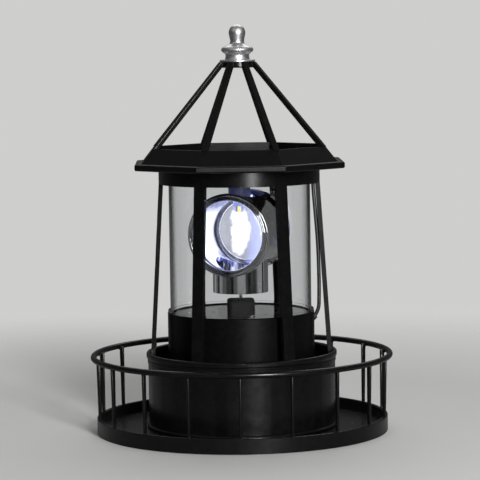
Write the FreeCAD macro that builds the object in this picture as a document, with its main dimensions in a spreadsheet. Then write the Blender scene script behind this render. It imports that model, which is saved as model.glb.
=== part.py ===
import FreeCAD, Part
import math
import os
import Sketcher

# Garden lighthouse lantern: a drum on a railed gallery carries a clear window in a strapped frame.
# A geared motor turns a chrome beacon head round a lamp that hangs from an octagonal solar roof.
# Millimetres, +Z up, the front looks along -Y, the origin is under the middle of the gallery.

MODEL = FreeCAD.newDocument("garden_lighthouse")
SHEET = MODEL.addObject("Spreadsheet::Sheet", "Sizes")

# ---------------------------------------------------------------- driving dimensions
DIMENSIONS = {
    # shared clearances
    "loose_fit": 0.3, "close_fit": 0.05, "tip_gap": 0.2,
    # gallery
    "ring_radius": 62.65, "ring_wall": 1.8, "ring_height": 6.5, "ring_round": 0.25,
    "deck_lift": 1.0, "deck_thickness": 1.2, "deck_lap": 0.4,
    "rail_overhang": 1.1, "rail_tube": 1.25, "rail_height": 32.6,
    "baluster_count": 18, "baluster_width": 1.2, "baluster_depth": 1.45, "baluster_flare": 0.6,
    "baluster_inset": 0.05, "baluster_turn": -1.8,
    # battery bay, which the drum closes round
    "base_cover_thickness": 1.6, "cell_radius": 7.2, "cell_length": 49.2, "cell_nub": 2.75,
    "cell_nub_length": 1.0, "cell_lift": 0.6, "cell_headroom": 0.4, "cell_side_gap": 0.35,
    "contact_thickness": 0.4, "contact_width": 10.0, "contact_height": 12.0, "tab_length": 1.0,
    "spring_length": 3.0, "spring_radius": 4.68, "spring_tip": 2.88, "bay_wall": 1.1,
    "bay_offset": 6.0, "bay_top_gap": 0.1, "door_gap": 0.2, "grip_length": 6.6, "grip_width": 2.2,
    "grip_inset": 5.5,
    # drum
    "drum_gap": 3.066, "drum_wall": 1.0, "drum_depth": 15.4, "bead": 0.8, "foot_width": 4.06,
    "foot_thickness": 3.0, "step_reach": 0.25, "step_width": 1.3, "groove_width": 0.8,
    "lip_reach": 0.74, "lip_height": 2.6, "shelf_thickness": 3.0, "shelf_width": 3.76,
    # lamp cup and its floor
    "cup_gap": 4.0, "cup_wall": 1.5, "cup_height": 32.5, "cup_chamfer": 0.35, "cup_flange": 1.5,
    "floor_drop": 0.5, "floor_thickness": 1.2, "ledge_width": 1.0, "ledge_thickness": 0.6,
    "post_gap": 1.1, "post_radius": 2.3, "post_screw_reach": 7.0,
    # window and frame
    "glass_inset": 1.2, "glass_wall": 1.0, "glass_length": 61.3, "glass_flange": 1.0,
    "glass_flange_height": 0.8, "frame_gap": 2.4, "frame_wall": 1.8, "band_height": 6.5,
    "strap_width": 5.1, "strap_bend_drop": 0.4, "frame_ring_width": 3.06,
    "frame_ring_height": 2.0, "band_flange_width": 3.4, "band_flange_height": 2.0,
    # roof
    "roof_floor": 1.5, "brim_thickness": 2.8, "brim_overhang": 3.15, "brim_round": 0.8,
    "slope_run": 5.25, "bezel_depth": 3.9, "bezel_thickness": 1.5, "bezel_ledge": 1.65,
    "bezel_frame": 2.0, "panel_rim": 1.24, "panel_thickness": 1.2, "rod_height": 36.0,
    "rod_thickness": 2.0, "rod_width": 2.6, "rod_round": 0.4, "rod_lap": 1.97,
    "hub_height": 2.4, "hub_radius": 7.5,
    # finial
    "stud_radius": 1.5, "finial_disc": 7.64, "finial_disc_height": 1.5, "finial_waist": 4.98,
    "finial_waist_height": 3.1, "finial_collar": 6.89, "finial_collar_height": 5.35,
    "finial_collar_half": 1.25, "finial_neck": 2.45, "finial_neck_height": 8.4,
    "finial_knob": 3.68, "finial_knob_height": 12.35, "finial_knob_drop": 2.7232,
    "disc_cove": 2.74, "waist_cove": 2.0, "neck_cove": 3.13, "knob_cove": 2.21,
    # beacon head
    "head_turn": -18.5, "skirt_gap": 3.2, "skirt_height": 8.9, "skirt_radius": 11.85,
    "skirt_wall": 1.0, "barrel_radius": 16.6, "barrel_wall": 1.0, "barrel_half": 15.0,
    "lamp_gap": 1.8, "web_gap": 1.1, "web_thickness": 1.2, "boss_wall": 1.91,
    "boss_length": 5.0, "lens_ring_wall": 1.15, "lens_ring_lip": 0.7, "lens_ring_back": 2.5,
    "lens_ring_front": 2.4, "lens_edge": 1.1, "lens_dome": 6.2,
    "shaft_radius": 0.69, "shaft_end": 1.3, "shaft_gap": 0.06,
    # lamp
    "holder_wall": 2.15, "holder_length": 14.0, "holder_rim": 2.3, "holder_flange_height": 0.8,
    "holder_lip": 0.7, "led_radius": 2.5, "led_length": 6.0, "led_rim": 0.35, "led_leg": 0.25,
    "led_leg_spread": 1.27, "led_board_width": 12.0, "led_board_left": 8.0,
    "led_board_thickness": 1.0, "led_board_gap": 0.3, "led_board_end_gap": 0.52,
    # shaft cover
    "cover_width": 11.8, "cover_height": 5.5, "cover_corner": 2.0, "cover_top_round": 1.1,
    "cover_peg": 0.8, "cover_peg_spread": 4.0,
    # gear train
    "gear_module": 0.4, "pinion_teeth": 10, "wheel_teeth": 40, "case_gap": 0.98,
    "case_wall": 1.0, "case_floor": 1.2, "case_headroom": 2.2, "motor_side": 60.0,
    "motor_gap": 1.18, "wheel_width": 1.6, "wheel_lift": 0.8, "wheel_gap": 1.0,
    "pin_radius": 0.7, "pinion_reach": 0.6, "pinion_margin": 0.2, "gear_hub_wall": 1.81,
    "journal_wall": 0.55, "journal_gap": 0.4, "journal_depth": 0.4, "motor_radius": 6.0,
    "motor_length": 15.0, "motor_shaft": 0.5, "spindle_reach": 2.0, "throat_depth": 3.0,
    "ear_step": 1.7, "ear_radius": 2.6, "ear_height": 2.0,
    # circuit board and switch
    "board_left": 17.0, "board_length": 42.0, "board_gap": 3.35, "board_width": 16.0,
    "board_thickness": 1.2, "board_post": 1.6, "board_margin": 2.4, "switch_x": 4.0,
    "switch_length": 9.0, "switch_width": 4.0, "switch_height": 3.4, "switch_gap": 0.6,
    "slider_length": 2.2, "slider_width": 1.6, "slider_travel": 2.0, "slider_tip": 0.2,
    "slider_depth": 1.8,
    # screws
    "screw_head": 1.7, "screw_head_height": 0.9, "screw_shank": 1.0, "board_screw_reach": 3.0,
    "thin_head": 1.45, "thin_shank": 0.8,
    # lead
    "lead_radius": 0.8, "lead_gap": 0.4, "lead_land": 0.5, "lead_notch_gap": 0.6,
    "grommet_wall": 0.5, "grommet_length": 3.6,
}


class Size:
    """A length: its number, and the sheet expression that keeps it up to date."""

    def __init__(self, number, text):
        self.number = float(number)
        self.text = text

    def joined(self, sign, other, number):
        tail = other.text if isinstance(other, Size) else repr(float(other))
        return Size(number, "(" + self.text + " " + sign + " " + tail + ")")

    def __add__(self, other):
        return self.joined("+", other, self.number + number_of(other))

    def __sub__(self, other):
        return self.joined("-", other, self.number - number_of(other))

    def __mul__(self, other):
        return self.joined("*", other, self.number * number_of(other))

    def __truediv__(self, other):
        return self.joined("/", other, self.number / number_of(other))

    def __neg__(self):
        return Size(-self.number, "(-" + self.text + ")")


class Sizes:
    """The sheet's values by name."""


def number_of(value):
    return value.number if isinstance(value, Size) else float(value)


def diagonal(first, second):
    """The long side of a right triangle."""
    text = "sqrt(" + first.text + " ^ 2 + " + second.text + " ^ 2)"
    return Size(math.hypot(first.number, second.number), text)


def other_side(diagonal_side, first):
    """The side that is left when a right triangle's long side and one more are known."""
    text = "sqrt(" + diagonal_side.text + " ^ 2 - " + first.text + " ^ 2)"
    return Size(math.sqrt(diagonal_side.number ** 2 - first.number ** 2), text)


def fill_sheet():
    """Write each driving dimension into the sheet under its name."""
    sizes = Sizes()
    for row, (alias, value) in enumerate(DIMENSIONS.items(), start=1):
        SHEET.set("A%d" % row, alias)
        SHEET.set("B%d" % row, str(value))
        SHEET.setAlias("B%d" % row, alias)
        setattr(sizes, alias, Size(value, "Sizes." + alias))
    MODEL.recompute()
    return sizes


D = fill_sheet()
NOTHING = Size(0, "0")
NODES = {}


# ---------------------------------------------------------------- shared construction
def bind(item, **sizes):
    """Tie an object's properties to the sheet."""
    for name, size in sizes.items():
        item.setExpression(name, size.text)
    return item


def place(item, x=NOTHING, y=NOTHING, z=NOTHING):
    """Tie an object's position to the sheet."""
    for axis, size in (("x", x), ("y", y), ("z", z)):
        item.setExpression("Placement.Base." + axis, size.text)
    return item


def turned_by(item, angle):
    """Turn an object about the upright axis by an angle of the sheet, in degrees."""
    item.Placement = FreeCAD.Placement(FreeCAD.Vector(), FreeCAD.Rotation(FreeCAD.Vector(0, 0, 1), 1))
    item.setExpression("Placement.Rotation.Angle", angle.text)
    return item


def keep(item, label):
    """Name an object as one of the lantern's pieces."""
    item.Label = label
    NODES[label] = item
    return item


def origin_part(body, role):
    return [part for part in body.Origin.OriginFeatures if part.Role == role][0]


def new_body(name):
    body = MODEL.addObject("PartDesign::Body", name)
    body.AllowCompound = True
    return body


def new_sketch(body, plane, name, height=None):
    sketch = body.newObject("Sketcher::SketchObject", name)
    sketch.AttachmentSupport = [(origin_part(body, plane), "")]
    sketch.MapMode = "FlatFace"
    if height is not None:
        sketch.setExpression("AttachmentOffset.Base.z", height.text)
    return sketch


def arc_between(start, end, radius, turn):
    """The shorter arc from start to end; turn is 1 when it bends left, -1 when it bends right."""
    chord = end - start
    side = FreeCAD.Vector(-chord.y, chord.x, 0).normalize() * turn
    reach = math.sqrt(max(radius ** 2 - (chord.Length / 2) ** 2, 0))
    centre = (start + end) * 0.5 + side * reach
    first, last = (start, end) if turn > 0 else (end, start)
    angles = [math.atan2(point.y - centre.y, point.x - centre.x) for point in (first, last)]
    return Part.ArcOfCircle(Part.Circle(centre, FreeCAD.Vector(0, 0, 1), radius), *angles)


def outline(sketch, corners, arcs):
    """Close a sketch through its corners; arcs gives the radius and turn of each round side."""
    count = len(corners)
    places = [FreeCAD.Vector(x.number, y.number, 0) for x, y in corners]
    for side in range(count):
        start = places[side]
        end = places[(side + 1) % count]
        if side in arcs:
            radius, turn = arcs[side]
            sketch.addGeometry(arc_between(start, end, radius.number, turn))
        else:
            sketch.addGeometry(Part.LineSegment(start, end))
    starts = [2 if side in arcs and arcs[side][1] < 0 else 1 for side in range(count)]
    for side in range(count):
        after = (side + 1) % count
        sketch.addConstraint(
            Sketcher.Constraint("Coincident", side, 3 - starts[side], after, starts[after]))
        for kind, axis, size in (("DistanceX", -2, corners[side][0]), ("DistanceY", -1, corners[side][1])):
            if size.text == NOTHING.text:
                sketch.addConstraint(Sketcher.Constraint("PointOnObject", side, starts[side], axis))
                continue
            row = sketch.addConstraint(
                Sketcher.Constraint(kind, -1, 1, side, starts[side], size.number))
            sketch.setExpression("Constraints[%d]" % row, size.text)
        if side in arcs:
            row = sketch.addConstraint(Sketcher.Constraint("Radius", side, arcs[side][0].number))
            sketch.setExpression("Constraints[%d]" % row, arcs[side][0].text)


def revolved(name, corners, arcs=None, plane="XZ_Plane", axis_at=None):
    """A piece turned from its half outline, about the upright axis or one that stands beside it."""
    body = new_body(name)
    sketch = new_sketch(body, plane, name + "_outline")
    outline(sketch, corners, arcs or {})
    axis = "V_Axis"
    if axis_at is not None:
        low = FreeCAD.Vector(axis_at.number, 0, 0)
        line = sketch.addGeometry(Part.LineSegment(low, low + FreeCAD.Vector(0, 10, 0)), True)
        sketch.addConstraint(Sketcher.Constraint("Vertical", line))
        sketch.addConstraint(Sketcher.Constraint("PointOnObject", line, 1, -1))
        row = sketch.addConstraint(Sketcher.Constraint("DistanceX", -1, 1, line, 1, axis_at.number))
        sketch.setExpression("Constraints[%d]" % row, axis_at.text)
        axis = "Axis0"
    turn = body.newObject("PartDesign::Revolution", name + "_turn")
    turn.Profile = sketch
    turn.ReferenceAxis = (sketch, [axis])
    turn.Angle = 360
    return body


def padded(name, corners, length, plane="XY_Plane", height=None, middle=False, arcs=None):
    """A piece of even thickness raised from its outline."""
    body = new_body(name)
    sketch = new_sketch(body, plane, name + "_outline", height)
    outline(sketch, corners, arcs or {})
    pad = body.newObject("PartDesign::Pad", name + "_pad")
    pad.Profile = sketch
    pad.Midplane = middle
    pad.setExpression("Length", length.text)
    return body


def patterned(body, count):
    """Repeat a body's shape evenly round the upright axis."""
    MODEL.recompute()
    pattern = body.newObject("PartDesign::PolarPattern", body.Name + "_pattern")
    pattern.TransformMode = "Whole shape"
    pattern.Axis = (origin_part(body, "Z_Axis"), [""])
    pattern.Angle = 360
    pattern.Occurrences = int(count)
    body.Tip = pattern
    return body


def round_edges(body, name, radius, wanted):
    """Round the edges of a body that a test picks out."""
    base = body.Tip
    edges = ["Edge%d" % (row + 1) for row, edge in enumerate(base.Shape.Edges) if wanted(edge)]
    fillet = body.newObject("PartDesign::Fillet", name)
    fillet.Base = (base, edges)
    fillet.setExpression("Radius", radius.text)


# Places nearer to each other than this, in millimetres, count as one.
TOUCH = 0.01


def low_high(edge, axis):
    values = [vertex.Point[axis] for vertex in edge.Vertexes]
    return min(values), max(values)


def is_level(edge):
    low, high = low_high(edge, 2)
    return high - low < TOUCH


def cylinder(name, radius, height, x=NOTHING, y=NOTHING, z=NOTHING):
    return place(bind(MODEL.addObject("Part::Cylinder", name), Radius=radius, Height=height), x, y, z)


def block(name, length, width, height, x, y, z):
    """A box from its middle in x and y, and its lowest z."""
    box = bind(MODEL.addObject("Part::Box", name), Length=length, Width=width, Height=height)
    return place(box, x - length / 2, y - width / 2, z)


def joined(name, pieces):
    fuse = MODEL.addObject("Part::MultiFuse", name)
    fuse.Shapes = pieces
    fuse.Refine = True
    return fuse


def without(name, base, tools):
    """A piece less its tools."""
    cut = MODEL.addObject("Part::Cut", name)
    cut.Base = base
    cut.Tool = tools[0] if len(tools) == 1 else joined(name + "_tools", tools)
    cut.Refine = True
    return cut


def made(name, shape):
    """A piece whose shape comes straight from curves and solids."""
    feature = MODEL.addObject("Part::Feature", name)
    feature.Shape = shape
    return feature


def octagon(corner):
    """The corners of an eight-sided outline with a flat side to the front."""
    angles = [math.radians(22.5 + 45 * turn) for turn in range(8)]
    return [(corner * math.cos(angle), corner * math.sin(angle)) for angle in angles]


def at_angle(distance, degrees):
    angle = math.radians(degrees)
    return distance * math.cos(angle), distance * math.sin(angle)


# Each ring of screws: how many, and the angle of its first one in degrees from +X.
SCREW_RINGS = {"tray": (4, 45), "cover": (3, 60), "frame": (6, 30), "roof": (4, 67.5)}


def screw_ring(ring, circle, seat, way, reach, head=None, shank=None):
    """Screws on a circle: heads on their seat, shanks reaching up (way 1) or down (way -1)."""
    label = ring + "_screws"
    count, first = SCREW_RINGS[ring]
    head = head or D.screw_head
    shank = shank or D.screw_shank
    top = seat - D.screw_head_height * way
    tip = seat + reach * way
    corners = [(circle, top), (circle + head, top), (circle + head, seat),
               (circle + shank, seat), (circle + shank, tip), (circle, tip)]
    body = patterned(revolved(label + "_group", corners, axis_at=circle), count)
    body.Placement = FreeCAD.Placement(
        FreeCAD.Vector(), FreeCAD.Rotation(FreeCAD.Vector(0, 0, 1), first))
    return keep(body, label)


def screw_holes(ring, name, circle, seat, depth, shank):
    """The holes that a ring of screws fills."""
    count, first = SCREW_RINGS[ring]
    holes = []
    for turn in range(count):
        x, y = at_angle(circle, first + 360 * turn / count)
        holes.append(cylinder("%s_%d" % (name, turn), shank + D.close_fit, depth, x, y, seat))
    return holes


# ---------------------------------------------------------------- places that pieces share
FLAT_SHARE = math.cos(math.radians(22.5))
ONE = Size(1, "1")

# battery bay and the board beside it
deck_top = D.deck_lift + D.deck_thickness
cover_top = D.deck_lift + D.base_cover_thickness
bay_length = (D.cell_length + D.cell_nub_length + D.spring_length + D.tab_length
              + D.contact_thickness * 2)
bay_width = (D.cell_radius + D.cell_side_gap) * 2
bay_centre = -D.bay_offset
cell_height = cover_top + D.cell_radius + D.cell_lift
bay_top = cell_height + D.cell_radius + D.cell_headroom
bay_end = bay_length / 2 + D.bay_wall
bay_front = D.bay_offset + bay_width / 2 + D.bay_wall
board_bottom = cover_top + D.switch_gap + D.switch_height
board_top = board_bottom + D.board_thickness
board_front = bay_centre + bay_width / 2 + D.bay_wall + D.board_gap
switch_y = board_front + D.board_width / 2
post_circle = bay_end + D.post_gap + D.post_radius

# drum
foot_inner = diagonal(bay_end, bay_front) + D.drum_gap
drum_inner = foot_inner + D.foot_width
drum_radius = drum_inner + D.drum_wall
deck_opening = foot_inner - D.deck_lap
tray_screw_circle = foot_inner + D.foot_width / 2
shelf_top = bay_top + D.bay_wall + D.bay_top_gap
shelf_bottom = shelf_top - D.shelf_thickness
shelf_inner = drum_inner - D.shelf_width
lip_top = shelf_top + D.drum_depth
lip_bottom = lip_top - D.lip_height
groove_height = lip_bottom - D.groove_width
step_height = groove_height - D.step_width

# cup, window and frame
cup_radius = shelf_inner - D.cup_gap
cup_inner = cup_radius - D.cup_wall
cup_rim = shelf_top + D.cup_height
flange_top = shelf_top + D.cup_flange
floor_top = cup_rim - D.floor_drop
floor_bottom = floor_top - D.floor_thickness
glass_radius = cup_radius - D.glass_inset
glass_top = cup_rim + D.glass_length
frame_radius = glass_radius + D.frame_gap + D.frame_wall
frame_outer_foot = drum_inner - D.loose_fit
frame_screw_circle = frame_outer_foot - D.frame_ring_width / 2
roof_bottom = glass_top + D.loose_fit
band_bottom = roof_bottom - D.band_height
band_flange_inner = frame_radius - D.band_flange_width
roof_screw_circle = band_flange_inner + D.band_flange_width / 2
lead_exit = glass_radius + D.lead_radius + D.lead_gap

# roof
holder_radius = D.led_radius + D.close_fit + D.holder_wall
roof_floor_top = roof_bottom + D.roof_floor
brim_top = roof_bottom + D.brim_thickness
led_board_bottom = roof_floor_top + D.holder_flange_height
bezel_bottom = led_board_bottom + D.led_board_thickness + D.led_board_gap
bezel_top = bezel_bottom + D.bezel_thickness
roof_rim = bezel_top + D.bezel_depth
hub_top = roof_rim + D.rod_height
hub_bottom = hub_top - D.hub_height
led_board_end = lead_exit + D.lead_land
well_corner = (led_board_end + D.led_board_end_gap) / FLAT_SHARE
mouth_inner = well_corner + D.bezel_ledge
rod_end = D.hub_radius - D.rod_lap
rod_lean = (mouth_inner - rod_end) / D.rod_height
rod_foot_width = D.rod_thickness * diagonal(ONE, rod_lean)
roof_mouth = mouth_inner + rod_foot_width
slope_corner = roof_mouth + D.slope_run
brim_corner = slope_corner + D.brim_overhang

# beacon head
cover_crown = floor_top + D.cover_height
skirt_bottom = cover_crown + D.skirt_gap
barrel_bottom = skirt_bottom + D.skirt_height
head_height = barrel_bottom + D.barrel_radius
web_top = barrel_bottom - D.web_gap
web_bottom = web_top - D.web_thickness
boss_bottom = web_bottom - D.boss_length
lens_ring_radius = D.barrel_radius + D.lens_ring_wall
lens_ring_inner = D.barrel_radius - D.lens_ring_lip

# gear train, which hangs under the floor of the cup
case_top = floor_bottom
gear_hub_height = D.wheel_width * 2
case_bottom = (case_top - D.case_headroom - gear_hub_height - D.wheel_gap - D.wheel_width
               - D.wheel_lift - D.case_floor)
case_floor_top = case_bottom + D.case_floor
low_wheel = case_floor_top + D.wheel_lift
high_wheel = low_wheel + D.wheel_width + D.wheel_gap
gear_hub = D.shaft_radius + D.gear_hub_wall


# ---------------------------------------------------------------- gallery
def gallery_tray():
    inner = D.ring_radius - D.ring_wall
    corners = [
        (deck_opening, D.deck_lift), (inner, D.deck_lift), (inner, NOTHING),
        (D.ring_radius, NOTHING), (D.ring_radius, D.ring_height - D.ring_round),
        (D.ring_radius - D.ring_round, D.ring_height), (inner, D.ring_height),
        (inner, deck_top), (deck_opening, deck_top)]
    tray = revolved("tray_plate", corners, {4: (D.ring_round, 1)})
    holes = screw_holes("tray", "tray_hole", tray_screw_circle, D.deck_lift, D.deck_thickness,
                        D.screw_shank)
    keep(without("tray_drilled", tray, holes), "gallery_tray")


def gallery_rail():
    rail = bind(MODEL.addObject("Part::Torus", "rail"), Radius1=D.ring_radius + D.rail_overhang,
                Radius2=D.rail_tube)
    return keep(place(rail, z=D.rail_height), "gallery_rail")


def gallery_balusters(rail):
    inner = D.ring_radius - D.ring_wall + D.baluster_inset
    outer = inner + D.baluster_depth
    corners = [(inner, D.ring_height), (outer, D.ring_height),
               (outer + D.baluster_flare, D.rail_height), (inner, D.rail_height)]
    bar = padded("baluster", corners, D.baluster_width, plane="XZ_Plane", middle=True)
    patterned(bar, D.baluster_count.number)
    coped = without("balusters_coped", bar, [rail])
    keep(turned_by(coped, D.baluster_turn - 90), "gallery_balusters")


# ---------------------------------------------------------------- drum
def drum_shell():
    foot_top = deck_top + D.foot_thickness
    lip_radius = drum_radius + D.lip_reach
    crown = (lip_radius - drum_inner) / 2
    step_radius = drum_radius + D.step_reach
    corners = [
        (foot_inner, deck_top), (drum_radius, deck_top),
        (drum_radius + D.bead, deck_top + D.bead), (drum_radius, deck_top + D.bead * 2),
        (drum_radius, step_height), (step_radius, step_height + D.step_reach),
        (step_radius, groove_height), (drum_radius, groove_height + D.step_reach),
        (drum_radius, lip_bottom), (lip_radius, lip_bottom + D.lip_reach),
        (lip_radius, lip_top - crown), (lip_radius - crown, lip_top),
        (drum_inner, lip_top - crown), (drum_inner, shelf_top), (shelf_inner, shelf_top),
        (shelf_inner, shelf_bottom), (drum_inner, shelf_bottom), (drum_inner, foot_top),
        (foot_inner, foot_top)]
    rounds = {1: (D.bead, 1), 2: (D.bead, 1), 8: (D.lip_reach, 1), 10: (crown, 1), 11: (crown, 1)}
    shell = revolved("drum_can", corners, rounds)
    tray_holes = screw_holes("tray", "drum_foot_hole", tray_screw_circle, deck_top,
                             D.foot_thickness, D.screw_shank)
    frame_holes = screw_holes("frame", "drum_shelf_hole", frame_screw_circle, shelf_bottom,
                              D.shelf_thickness, D.thin_shank)
    keep(without("drum_drilled", shell, tray_holes + frame_holes), "drum_shell")


# ---------------------------------------------------------------- lamp cup
def lamp_cup():
    flange_radius = drum_inner - D.loose_fit
    ledge_inner = cup_inner - D.ledge_width
    ledge_bottom = floor_bottom - D.ledge_thickness
    corners = [
        (cup_inner, shelf_top), (flange_radius, shelf_top), (flange_radius, flange_top),
        (cup_radius, flange_top), (cup_radius, cup_rim - D.cup_chamfer),
        (cup_radius - D.cup_chamfer, cup_rim), (cup_inner, cup_rim),
        (cup_inner, floor_bottom), (ledge_inner, floor_bottom), (ledge_inner, ledge_bottom),
        (cup_inner, ledge_bottom - D.ledge_width)]
    wall = revolved("cup_wall_turned", corners)
    posts = []
    bores = []
    count, first = SCREW_RINGS["cover"]
    for turn in range(count):
        x, y = at_angle(post_circle, first + 360 * turn / count)
        height = shelf_top - cover_top
        posts.append(cylinder("cup_post_%d" % turn, D.post_radius, height, x, y, cover_top))
        bores.append(cylinder("cup_post_bore_%d" % turn, D.screw_shank + D.close_fit,
                              D.post_screw_reach, x, y, cover_top))
    cup = joined("cup_with_posts", [wall] + posts)
    frame_holes = screw_holes("frame", "cup_flange_hole", frame_screw_circle, shelf_top,
                              D.cup_flange, D.thin_shank)
    hole_radius = D.lead_radius + D.grommet_wall
    hole_length = D.grommet_length + hole_radius * 2
    lead_hole = made("cup_lead_hole", grommet_cylinder(hole_radius.number, hole_length.number))
    keep(without("cup_drilled", cup, bores + frame_holes + [lead_hole]), "lamp_cup")


def cup_floor():
    disc = cylinder("floor_disc", cup_inner - D.loose_fit, D.floor_thickness, z=floor_bottom)
    holes = [cylinder("floor_shaft_hole", gear_hub + D.loose_fit, D.floor_thickness, z=floor_bottom)]
    for side in (-1, 1):
        holes.append(cylinder("floor_peg_hole_%d" % (side + 1), D.cover_peg + D.close_fit,
                              D.floor_thickness, x=D.cover_peg_spread * side, z=floor_bottom))
    for turn, (x, y) in enumerate(ear_places()):
        holes.append(cylinder("floor_ear_hole_%d" % turn, D.thin_shank + D.close_fit,
                              D.floor_thickness, x, y, floor_bottom))
    keep(without("floor_drilled", disc, holes), "cup_floor")


def shaft_cover():
    half = D.cover_width / 2
    inner = half - D.cover_corner
    corners = [(half, -inner), (half, inner), (inner, half), (-inner, half),
               (-half, inner), (-half, -inner), (-inner, -half), (inner, -half)]
    rounds = {side: (D.cover_corner, 1) for side in (1, 3, 5, 7)}
    body = padded("cover_block", corners, D.cover_height, height=floor_top, arcs=rounds)
    MODEL.recompute()
    round_edges(body, "cover_top_edges", D.cover_top_round,
                lambda edge: low_high(edge, 2)[0] > cover_crown.number - TOUCH)
    depth = D.floor_thickness
    pegs = [cylinder("cover_peg_%d" % (side + 1), D.cover_peg, depth,
                     x=D.cover_peg_spread * side, z=floor_bottom) for side in (-1, 1)]
    bore = cylinder("cover_bore", D.shaft_radius + D.shaft_gap, D.cover_height, z=floor_top)
    keep(without("cover_bored", joined("cover_with_pegs", [body] + pegs), [bore]), "shaft_cover")


# ---------------------------------------------------------------- window and frame
def window_glass():
    inner = glass_radius - D.glass_wall
    flange = glass_radius + D.glass_flange
    flange_level = cup_rim + D.glass_flange_height
    corners = [(inner, cup_rim), (flange, cup_rim), (flange, flange_level),
               (glass_radius, flange_level), (glass_radius, glass_top), (inner, glass_top)]
    keep(revolved("window_tube", corners), "window_glass")


def lantern_frame():
    strap_foot = frame_outer_foot - D.frame_wall
    inner = frame_radius - D.frame_wall
    strap_bend = lip_top - D.strap_bend_drop
    cone = [
        (inner, roof_bottom), (inner, band_bottom), (strap_foot, strap_bend),
        (strap_foot, flange_top), (frame_outer_foot, flange_top),
        (frame_outer_foot, strap_bend), (frame_radius, band_bottom), (frame_radius, roof_bottom)]
    shell = revolved("frame_cone", cone)
    height = roof_bottom - flange_top
    slabs = []
    for turn in range(3):
        slab = bind(MODEL.addObject("Part::Box", "strap_slab_%d" % turn),
                    Length=frame_outer_foot * 4, Width=D.strap_width, Height=height)
        angle = math.radians(60 * turn)
        x = frame_outer_foot * (-2 * math.cos(angle)) + D.strap_width * (0.5 * math.sin(angle))
        y = frame_outer_foot * (-2 * math.sin(angle)) - D.strap_width * (0.5 * math.cos(angle))
        slab.Placement = FreeCAD.Placement(
            FreeCAD.Vector(), FreeCAD.Rotation(FreeCAD.Vector(0, 0, 1), 60 * turn))
        slabs.append(place(slab, x, y, flange_top))
    straps = MODEL.addObject("Part::MultiCommon", "straps")
    straps.Shapes = [shell, joined("strap_slabs", slabs)]
    flange_bottom = roof_bottom - D.band_flange_height
    band = revolved("frame_band", [
        (inner, band_bottom), (frame_radius, band_bottom), (frame_radius, roof_bottom),
        (band_flange_inner, roof_bottom), (band_flange_inner, flange_bottom),
        (inner, flange_bottom)])
    ring_top = flange_top + D.frame_ring_height
    ring_inner = frame_outer_foot - D.frame_ring_width
    ring = revolved("frame_foot_ring", [
        (ring_inner, flange_top), (frame_outer_foot, flange_top),
        (frame_outer_foot, ring_top), (ring_inner, ring_top)])
    notch = cylinder("band_lead_notch", D.lead_radius + D.lead_notch_gap, D.band_flange_height,
                     x=lead_exit, z=flange_bottom)
    foot_holes = screw_holes("frame", "frame_foot_hole", frame_screw_circle, flange_top,
                             D.frame_ring_height, D.thin_shank)
    roof_holes = screw_holes("roof", "frame_roof_hole", roof_screw_circle, flange_bottom,
                             D.band_flange_height, D.thin_shank)
    frame = joined("frame_whole", [straps, band, ring])
    keep(without("frame_drilled", frame, [notch] + foot_holes + roof_holes), "lantern_frame")


# ---------------------------------------------------------------- roof
def roof_hood():
    body = padded("hood_brim", octagon(brim_corner), D.brim_thickness, height=roof_bottom)
    low = new_sketch(body, "XY_Plane", "slope_foot", brim_top)
    outline(low, octagon(slope_corner), {})
    high = new_sketch(body, "XY_Plane", "slope_head", roof_rim)
    outline(high, octagon(roof_mouth), {})
    slope = body.newObject("PartDesign::AdditiveLoft", "hood_slope")
    slope.Profile = low
    slope.Sections = [high]
    slope.Ruled = True
    MODEL.recompute()
    flat_side = brim_corner.number * FLAT_SHARE
    round_edges(body, "brim_edges", D.brim_round, lambda edge: is_level(edge)
                and math.hypot(edge.CenterOfMass.x, edge.CenterOfMass.y) > flat_side - TOUCH)
    mouth = padded("hood_mouth", octagon(mouth_inner), roof_rim - bezel_bottom, height=bezel_bottom)
    well = padded("hood_well", octagon(well_corner), bezel_bottom - roof_floor_top,
                  height=roof_floor_top)
    lamp_hole = cylinder("hood_lamp_hole", holder_radius + D.close_fit, D.roof_floor, z=roof_bottom)
    lead_hole = cylinder("hood_lead_hole", D.lead_radius + D.close_fit, D.roof_floor,
                         x=lead_exit, z=roof_bottom)
    holes = screw_holes("roof", "hood_screw_hole", roof_screw_circle, roof_bottom, D.roof_floor,
                        D.thin_shank)
    keep(without("hood_cut", body, [mouth, well, lamp_hole, lead_hole] + holes), "roof_hood")


def roof_bezel():
    corner = mouth_inner - D.loose_fit
    plate = padded("bezel_plate", octagon(corner), D.bezel_thickness, height=bezel_bottom)
    half_diagonal = corner * FLAT_SHARE - D.panel_rim
    panel_side = half_diagonal * math.sqrt(2)
    seat_side = panel_side + D.close_fit * 2
    seat = block("bezel_seat", seat_side, seat_side, D.panel_thickness, NOTHING, NOTHING,
                 bezel_top - D.panel_thickness)
    inside = panel_side - D.bezel_frame * 2
    window = block("bezel_window", inside, inside, D.bezel_thickness, NOTHING, NOTHING, bezel_bottom)
    keep(without("bezel_cut", plate, [seat, window]), "panel_bezel")
    panel = block("panel_block", panel_side, panel_side, D.panel_thickness,
                  NOTHING, NOTHING, bezel_top - D.panel_thickness)
    keep(panel, "solar_panel")


def roof_hub():
    bore = D.stud_radius + D.close_fit
    chamfer = D.hub_height / 4
    corners = [(bore, hub_bottom), (D.hub_radius - chamfer, hub_bottom),
               (D.hub_radius, hub_bottom + chamfer), (D.hub_radius, hub_top), (bore, hub_top)]
    return keep(revolved("hub_disc", corners), "roof_hub")


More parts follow.
